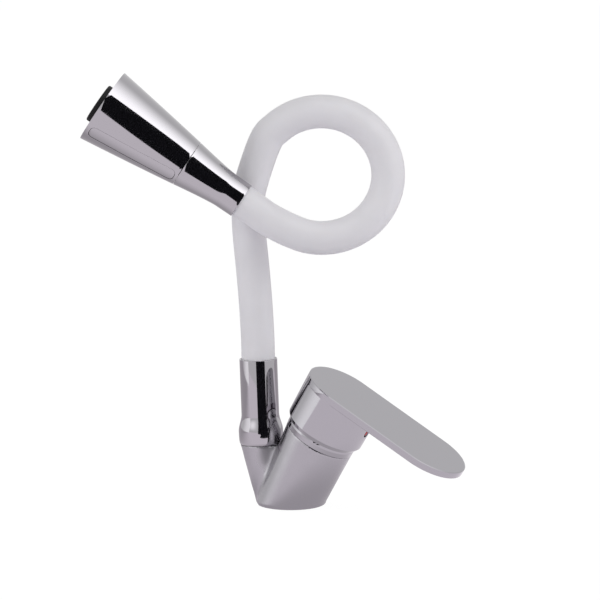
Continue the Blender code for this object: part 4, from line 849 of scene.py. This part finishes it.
# %% Indicator dot
DOT_RADIUS = 0.00217
DOT_FOOT = 0.02363
DOT_SHOULDER = 0.0246
DOT_RISE = 0.0007
DOT_STEPS = 8
NEARLY_POLE = math.radians(88.0)
HALF_CUBE = 0.01
for name, side, finish in (("indicator_red", -1.0, "red_plastic"),
                           ("indicator_blue", 1.0, "blue_plastic")):
    rings = [(DOT_RADIUS, DOT_FOOT), (DOT_RADIUS, DOT_SHOULDER)]
    for i in range(1, DOT_STEPS + 1):
        turn = NEARLY_POLE * i / DOT_STEPS
        rings.append((DOT_RADIUS * math.cos(turn), DOT_SHOULDER + DOT_RISE * math.sin(turn)))
    dot = lathe(name + "_dome", rings, 48, ends="filled")
    cut(dot, block((0.0, side * (GAP / 2 - HALF_CUBE), DOT_FOOT), (2 * HALF_CUBE,) * 3))
    settle(dot, BARREL @ PLUG_AT, FINISHES[finish])
    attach(dot, "lever")
    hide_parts(name)

# %% [markdown]
# ## The spray head
# A trumpet in two chromed shells: a short rear collar, and the long front shell that
# flares towards its mouth. A strip of the shell is a rocker that changes the spray.

# %% Profile of the trumpet
HEAD_LENGTH = 0.1034
REAR_LENGTH = 0.0404
REAR_NECK = (0.0114, 0.0120)
SEAM_RADIUS = 0.0153
MIDDLE = (0.0199, (REAR_LENGTH + HEAD_LENGTH) / 2)
FRONT_RADIUS = 0.0242
SHELL_WALL = 0.0018


def flare(s):
    """Radius of the front shell: a parabola through its seam, middle and mouth."""
    a, b, c = REAR_LENGTH, MIDDLE[1], HEAD_LENGTH
    return (SEAM_RADIUS * (s - b) * (s - c) / ((a - b) * (a - c))
            + MIDDLE[0] * (s - a) * (s - c) / ((b - a) * (b - c))
            + FRONT_RADIUS * (s - a) * (s - b) / ((c - a) * (c - b)))


def neck(s):
    """Radius of the rear collar: a straight rim, then a curve up to the seam."""
    if s <= REAR_NECK[1]:
        return REAR_RIM_RADIUS + (REAR_NECK[0] - REAR_RIM_RADIUS) * s / REAR_NECK[1]
    share = (s - REAR_NECK[1]) / (REAR_LENGTH - REAR_NECK[1])
    return REAR_NECK[0] + (SEAM_RADIUS - REAR_NECK[0]) * share ** 1.2


def between(start, end, count):
    """Even steps from one number to another, both included."""
    return [start + (end - start) * i / count for i in range(count + 1)]


# %% Rear collar and front shell
HOSE_BORE = HOSE_RADIUS + 0.00035
WATERWAY_BORE = (0.0093, 0.0179)
MOUTH = HEAD_LENGTH - 0.0029
MOUTH_RADIUS = FRONT_RADIUS - 0.0016
MOUTH_SEAT = (0.0210, 0.0969)
SEAM_WALL = 0.0012
rear = [(neck(s), s) for s in between(0.0, REAR_LENGTH, 24)]
rear += [(WATERWAY_BORE[0], REAR_LENGTH), WATERWAY_BORE, (HOSE_BORE, WATERWAY_BORE[1]),
         (HOSE_BORE, 0.0)]
rear_collar = lathe("head_rear_collar", rear)
round_edges(rear_collar, TURNED_EDGE, 2)
settle(rear_collar, HEAD, moulded_chrome)
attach(rear_collar, "head")
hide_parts("hose_end_collar")

start = REAR_LENGTH + GAP
wall = [(flare(s), s) for s in between(start, HEAD_LENGTH, 36)]
wall += [(MOUTH_RADIUS, HEAD_LENGTH), (MOUTH_RADIUS, MOUTH), (MOUTH_SEAT[0], MOUTH),
         MOUTH_SEAT]
wall += [(flare(s) - SHELL_WALL, s) for s in between(MOUTH_SEAT[1], start + SEAM_WALL, 18)]
wall += [(WATERWAY_BORE[0], start + SEAM_WALL), (WATERWAY_BORE[0], start)]
shell = lathe("head_front_shell", wall, 128)

# %% [markdown]
# The strip and the slot it lies in are cut with the same bar, made a gap wider for the slot.

# %% Slot of the mode lever
STRIP_WIDTH = 0.0087
STRIP_START = 0.0427
STRIP_END = 0.1004
STRIP_CORNER = 0.0030
STRIP_THICKNESS = 0.0018
STRIP_OFFSET = 0.00022
SLOT_REACH = (0.0, 0.030)
STRIP_REACH = (0.010, 0.030)


def strip_tool(grow, low, high):
    """A bar with rounded corners that stands on the head, to cut the strip or its slot."""
    length = STRIP_END - STRIP_START + 2 * grow
    middle = (STRIP_START + STRIP_END) / 2
    tool = block(((low + high) / 2, 0, middle), (high - low, STRIP_WIDTH + 2 * grow, length))
    for edge in tool.data.edges:
        a, b = (tool.data.vertices[i].co for i in edge.vertices)
        edge.select = abs(a.x - b.x) > 0.001
    for face in tool.data.polygons:
        face.select = False
    bpy.ops.object.mode_set(mode="EDIT")
    bpy.ops.mesh.select_mode(type="EDGE")
    bpy.ops.mesh.bevel(offset=STRIP_CORNER + grow, segments=8)
    bpy.ops.object.mode_set(mode="OBJECT")
    return tool


cut(shell, strip_tool(GAP, *SLOT_REACH))
round_edges(shell, CUT_EDGE, 2)
settle(shell, HEAD, moulded_chrome)
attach(shell, "head")
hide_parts("head_shell")

# %% Mode lever
PIN_PLACE = MIDDLE[0] - 0.0044
LUG_FOOT = PIN_PLACE - 0.00135
LUG_TOP = MIDDLE[0] - STRIP_THICKNESS / 2
LUG_SIZE = (0.0028, 0.0036)
PIN_BORE = (0.0011, -0.003, 0.003)
PAST_ENDS = 0.002
along_strip = between(STRIP_START - PAST_ENDS, STRIP_END + PAST_ENDS, 36)
strip_wall = [(flare(s), s) for s in along_strip]
strip_wall += [(flare(s) - STRIP_THICKNESS, s) for s in reversed(along_strip)]
strip = lathe("mode_rocker", strip_wall, 128)
outline = strip_tool(0.0, *STRIP_REACH)
outline.location.y = STRIP_OFFSET
cut(strip, outline, operation="INTERSECT")
round_edges(strip, CUT_EDGE, 2)
lug = block(((LUG_FOOT + LUG_TOP) / 2, 0, MIDDLE[1]), (LUG_TOP - LUG_FOOT, *LUG_SIZE))
cut(strip, lug, operation="UNION")
FACING_Y = Matrix.Rotation(-math.pi / 2, 4, "X")
cut(strip, drill(*PIN_BORE, Matrix.Translation((PIN_PLACE, 0, MIDDLE[1])) @ FACING_Y, 24))
settle(strip, HEAD, moulded_chrome)
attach(strip, "mode")
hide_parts("mode_lever")

# %% [markdown]
# ## The mouth of the head
# A chrome bezel closes the mouth. In it sits the black face: a ring of soft nozzles that
# can be rubbed clean, round the aerator.

# %% Bezel and spray face
FACE_RADIUS = 0.0127
BEZEL_TOP = HEAD_LENGTH - 0.0005
bezel = lathe("mouth_bezel", [
    (FACE_RADIUS + GAP, MOUTH + GAP), (MOUTH_RADIUS - GAP, MOUTH + GAP),
    (MOUTH_RADIUS - GAP, BEZEL_TOP), (FACE_RADIUS + GAP, BEZEL_TOP)])
round_edges(bezel, SOFT_EDGE)
settle(bezel, HEAD, moulded_chrome)
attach(bezel, "head")
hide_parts("front_bezel")

FACE_TOP = HEAD_LENGTH + 0.0036
AERATOR_RADIUS = 0.0058
FACE_CHAMFER = 0.0006
WELL_RADII = (0.0112, 0.0107, 0.0079, 0.0072)
WELL_FLOOR = FACE_TOP - 0.0008
NOZZLES = 14
NOZZLE_CIRCLE = 0.0093
NOZZLE = (0.0010, FACE_TOP - 0.0012, FACE_TOP - 0.0002)
NOZZLE_HOLE = (0.0005, FACE_TOP - 0.0030, FACE_TOP + 0.001)
face = lathe("nozzle_face", [
    (AERATOR_RADIUS + GAP, MOUTH + GAP), (FACE_RADIUS, MOUTH + GAP),
    (FACE_RADIUS, FACE_TOP - FACE_CHAMFER), (FACE_RADIUS - FACE_CHAMFER, FACE_TOP),
    (WELL_RADII[0], FACE_TOP), (WELL_RADII[1], WELL_FLOOR), (WELL_RADII[2], WELL_FLOOR),
    (WELL_RADII[3], FACE_TOP), (AERATOR_RADIUS + GAP, FACE_TOP)])
round_edges(face, SOFT_EDGE, 3, 20.0)
for i in range(NOZZLES):
    turn = math.tau * i / NOZZLES
    at = Matrix.Translation((NOZZLE_CIRCLE * math.cos(turn), NOZZLE_CIRCLE * math.sin(turn),
                             0.0))
    cut(face, drill(*NOZZLE, at, 20), operation="UNION")
    cut(face, drill(*NOZZLE_HOLE, at, 12))
settle(face, HEAD, FINISHES["black_plastic"])
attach(face, "head")
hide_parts("spray_face")

# %% [markdown]
# ## Studio
# The photograph was taken on a white sweep in soft light. Chrome shows the room more than
# itself, so the room is built for it. The floor and the walls are plain white to the lens.
# In the chrome the floor turns greyer towards the back and round the foot: painted shade in
# the glow that mirrors see.

# %% White floor and walls
def seen_share(tree, lens, mirror):
    """Share of plain light that a ray sees: from the lens, from a mirror, or else none."""
    rays = add_node(tree, "ShaderNodeLightPath")
    through = add_node(tree, "ShaderNodeMath", {
        0: rays.outputs["Is Glossy Ray"], 1: rays.outputs["Is Transmission Ray"]},
        operation="MAXIMUM")
    by_mirror = add_node(tree, "ShaderNodeMath", {
        0: through.outputs[0], 1: mirror}, operation="MULTIPLY")
    by_lens = add_node(tree, "ShaderNodeMath", {
        0: rays.outputs["Is Camera Ray"], 1: lens}, operation="MULTIPLY")
    either = add_node(tree, "ShaderNodeMath", {
        0: by_mirror.outputs[0], 1: by_lens.outputs[0]}, operation="MAXIMUM")
    return either.outputs[0]


# how bright the floor glows to mirrors, with painted shade: greyer towards the back left and
# round the foot
PAPER_WHITE = 1.05
BACK_SHADE_GREY = 0.56
GREYER_FROM, GREYER_TO = -0.08, 0.28
FOOT_SHADE_GREY = 0.68
FOOT_NEAR, FOOT_FAR = 0.030, 0.085
bpy.ops.mesh.primitive_plane_add(size=60.0, location=(0.0, 0.0, -0.00005))
floor = bpy.context.object
floor.name = "white_sweep"
# matt coated paper: an even, slightly cool white to the lens; to mirrors it glows instead,
# with painted shade and a painted lilac tint
paper, tree, shader = new_material("white_paper_sweep", "F1EFF4", 0.0, 0.9)
place = add_node(tree, "ShaderNodeTexCoord")
# painted shade: the glow that mirrors see greys towards the back left
back_left = add_node(tree, "ShaderNodeVectorMath", {
    0: place.outputs["Object"], 1: (-1.0, 1.0, 0.0)}, operation="DOT_PRODUCT")
painted_back_shade = add_node(tree, "ShaderNodeMapRange", {
    "Value": back_left.outputs["Value"], "From Min": GREYER_FROM, "From Max": GREYER_TO,
    "To Min": PAPER_WHITE, "To Max": PAPER_WHITE * BACK_SHADE_GREY},
    interpolation_type="SMOOTHSTEP")
# painted shade round the foot, as if the body kept the light off there
away = add_node(tree, "ShaderNodeVectorMath", {0: place.outputs["Object"]}, operation="LENGTH")
painted_foot_shade = add_node(tree, "ShaderNodeMapRange", {
    "Value": away.outputs["Value"], "From Min": FOOT_NEAR, "From Max": FOOT_FAR,
    "To Min": FOOT_SHADE_GREY}, interpolation_type="SMOOTHSTEP")
painted_mirror_floor = add_node(tree, "ShaderNodeMath", {
    0: painted_back_shade.outputs["Result"], 1: painted_foot_shade.outputs["Result"]}, operation="MULTIPLY")
rays = add_node(tree, "ShaderNodeLightPath")
straight = add_node(tree, "ShaderNodeMath", {
    0: rays.outputs["Is Camera Ray"], 1: PAPER_WHITE}, operation="MULTIPLY")
strength = add_node(tree, "ShaderNodeMath", {
    0: painted_mirror_floor.outputs[0], 1: straight.outputs[0]}, operation="MAXIMUM")
# painted reflection: mirrors see the floor's glow a little lilac, while the lens sees it white
tint = add_node(tree, "ShaderNodeMixRGB", {
    "Fac": rays.outputs["Is Camera Ray"], "Color1": hex_colour("FFF9FF"),
    "Color2": hex_colour("FFFFFF")})
lightness = add_node(tree, "ShaderNodeEmission", {
    "Color": tint.outputs["Color"], "Strength": strength.outputs[0]})
mixed = add_node(tree, "ShaderNodeMixShader", {
    "Fac": seen_share(tree, 0.93, 1.0), 1: shader.outputs["BSDF"],
    2: lightness.outputs["Emission"]})
tree.links.new(mixed.outputs["Shader"], tree.nodes["Material Output"].inputs["Surface"])
floor.data.materials.append(paper)

ROOM_LIGHT = 0.49
world = bpy.data.worlds.new("white_studio")
bpy.context.scene.world = world
world.use_nodes = True
tree = world.node_tree
tree.nodes.clear()
soft = add_node(tree, "ShaderNodeBackground", {
    "Color": hex_colour("FFFFFF"), "Strength": ROOM_LIGHT})
white = add_node(tree, "ShaderNodeBackground", {"Color": hex_colour("FFFFFF")})
both = add_node(tree, "ShaderNodeMixShader", {
    "Fac": seen_share(tree, 1.0, 0.75), 1: soft.outputs["Background"],
    2: white.outputs["Background"]})
add_node(tree, "ShaderNodeOutputWorld", {"Surface": both.outputs["Shader"]})

# %% [markdown]
# Four soft lamps light the faucet. Chrome sees cards in their place, which only mirrors see
# and
# which paint its reflections: a black one beside the lens, with an apron on the floor, for the
# crisp dark bands, and three glowing panels that fade out for the painted soft highlights.

# %% Lamps
def softbox(name, centre, aim, width, height, power):
    """A rectangular lamp that looks at a point. Mirrors see the panels instead of it."""
    look = (Vector(aim) - Vector(centre)).to_track_quat("-Z", "Y").to_euler()
    bpy.ops.object.light_add(type="AREA", location=centre, rotation=look)
    lamp = bpy.context.object
    lamp.name = name
    lamp.data.shape = "RECTANGLE"
    lamp.data.size = width
    lamp.data.size_y = height
    lamp.data.energy = power
    lamp.visible_glossy = False


softbox("right_bank", (0.95, -0.02, 0.62), (0.0, 0.0, 0.16), 0.45, 1.25, 3.2)
softbox("left_bank", (-0.66, -0.62, 0.42), (0.0, 0.0, 0.10), 0.24, 0.80, 1.6)
softbox("front_bank", (0.6, -1.35, 0.40), (0.0, 0.0, 0.12), 0.8, 0.8, 1.3)
softbox("overhead_bank", (0.0, -0.35, 1.20), (0.0, 0.0, 0.12), 0.8, 0.5, 0.5)

# %% Cards and panels that only mirrors see
def card(name, centre, across, width, height):
    """A card that faces the faucet, with one side along a given direction."""
    facing_in = (AIM - centre).normalized()
    across = (across - facing_in * across.dot(facing_in)).normalized()
    bpy.ops.mesh.primitive_plane_add(size=1.0)
    piece = bpy.context.object
    piece.name = name
    piece.matrix_world = Matrix.Translation(centre) @ Matrix(
        (across, facing_in.cross(across), facing_in)).transposed().to_4x4()
    piece.scale = (width, height, 1.0)
    # only mirrors see a card: what it shows is a painted reflection, and it lights or shades
    # nothing
    for rays in ("camera", "diffuse", "shadow", "transmission"):
        setattr(piece, "visible_" + rays, False)
    return piece


def compass(turn, rise):
    """Direction from the faucet: 0 degrees looks along the room's Y axis, from its front."""
    turn, rise = math.radians(turn), math.radians(rise)
    return Vector((math.sin(turn) * math.cos(rise), -math.cos(turn) * math.cos(rise),
                   math.sin(rise)))


def graduated(name, strength, bright_at, clear_at, edge, one_sided=True):
    """Light that fades from one place across the card to another, and at its two ends."""
    glow = bpy.data.materials.new(name)
    glow.use_nodes = True
    tree = glow.node_tree
    tree.nodes.clear()
    place = add_node(tree, "ShaderNodeTexCoord")
    sides = add_node(tree, "ShaderNodeSeparateXYZ", {"Vector": place.outputs["Object"]})
    across = sides.outputs["X"]
    if not one_sided:
        middle = add_node(tree, "ShaderNodeMath", {0: across}, operation="ABSOLUTE")
        across = middle.outputs[0]
    fade = add_node(tree, "ShaderNodeMapRange", {
        "Value": across, "From Min": clear_at, "From Max": bright_at},
        interpolation_type="SMOOTHSTEP")
    off = add_node(tree, "ShaderNodeMath", {0: sides.outputs["Y"]}, operation="ABSOLUTE")
    trim = add_node(tree, "ShaderNodeMapRange", {
        "Value": off.outputs[0], "From Min": 0.5, "From Max": 0.5 - edge},
        interpolation_type="SMOOTHSTEP")
    share = add_node(tree, "ShaderNodeMath", {
        0: fade.outputs["Result"], 1: trim.outputs["Result"]}, operation="MULTIPLY")
    clear = add_node(tree, "ShaderNodeBsdfTransparent")
    light = add_node(tree, "ShaderNodeEmission", {
        "Color": hex_colour("FFFFFF"), "Strength": strength})
    mixed = add_node(tree, "ShaderNodeMixShader", {
        "Fac": share.outputs[0], 1: clear.outputs["BSDF"], 2: light.outputs["Emission"]})
    add_node(tree, "ShaderNodeOutputMaterial", {"Surface": mixed.outputs["Shader"]})
    return glow


AIM = Vector((0.0, 0.0, 0.12))
CARD_TURN = 34.0
CARD_DISTANCE = 0.30
CARD_SIZE = (0.31, 0.48)
APRON_DISTANCE = 0.25
APRON_SHIFT = 0.04
APRON_SIZE = (0.22, 0.10)
PANEL_DISTANCE = 1.2
outward, sideways = compass(CARD_TURN, 0.0), compass(CARD_TURN + 90.0, 0.0)
dark = card("black_card", outward * CARD_DISTANCE + Vector((0.0, 0.0, CARD_SIZE[1] / 2)),
            sideways, *CARD_SIZE)
dark.rotation_euler = (math.pi / 2, 0.0, math.radians(CARD_TURN))
apron = card("black_apron", outward * APRON_DISTANCE + sideways * APRON_SHIFT
             + Vector((0.0, 0.0, JOINT)), sideways, *APRON_SIZE)
apron.rotation_euler = (0.0, 0.0, math.radians(CARD_TURN))
# a card of pressed black wool, without a gleam, that only mirrors see: it paints the crisp
# dark bands into the chrome as a dark reflection
painted_dark_reflection, tree, shader = new_material("black_card_painted_reflection", "26262A", 0.0, 0.95)
shader.inputs["Specular IOR Level"].default_value = 0.0
dark.data.materials.append(painted_dark_reflection)
apron.data.materials.append(painted_dark_reflection)

PANELS = {  # direction, side, size and fade of each
    "high": (compass(112.0, 55.6), Vector((-0.33, 0.943, -0.031)), (2.2, 2.0),
             (2.4, -0.34, 0.32, 0.2)),
    "left": (compass(-27.0, 24.0), compass(63.0, 0.0), (1.5, 1.0),
             (1.95, 0.0, 0.5, 0.5, False)),
    "low": (compass(-66.0, 2.0), compass(-156.0, 0.0), (1.2, 0.9), (1.5, -0.3, 0.5, 0.25)),
}
# each panel glows for mirrors alone: a painted highlight that lights nothing
for name, (away, side, size, fade) in PANELS.items():
    panel = card(name + "_panel", AIM + away * PANEL_DISTANCE, side, *size)
    panel.data.materials.append(graduated(name + "_glow", *fade))
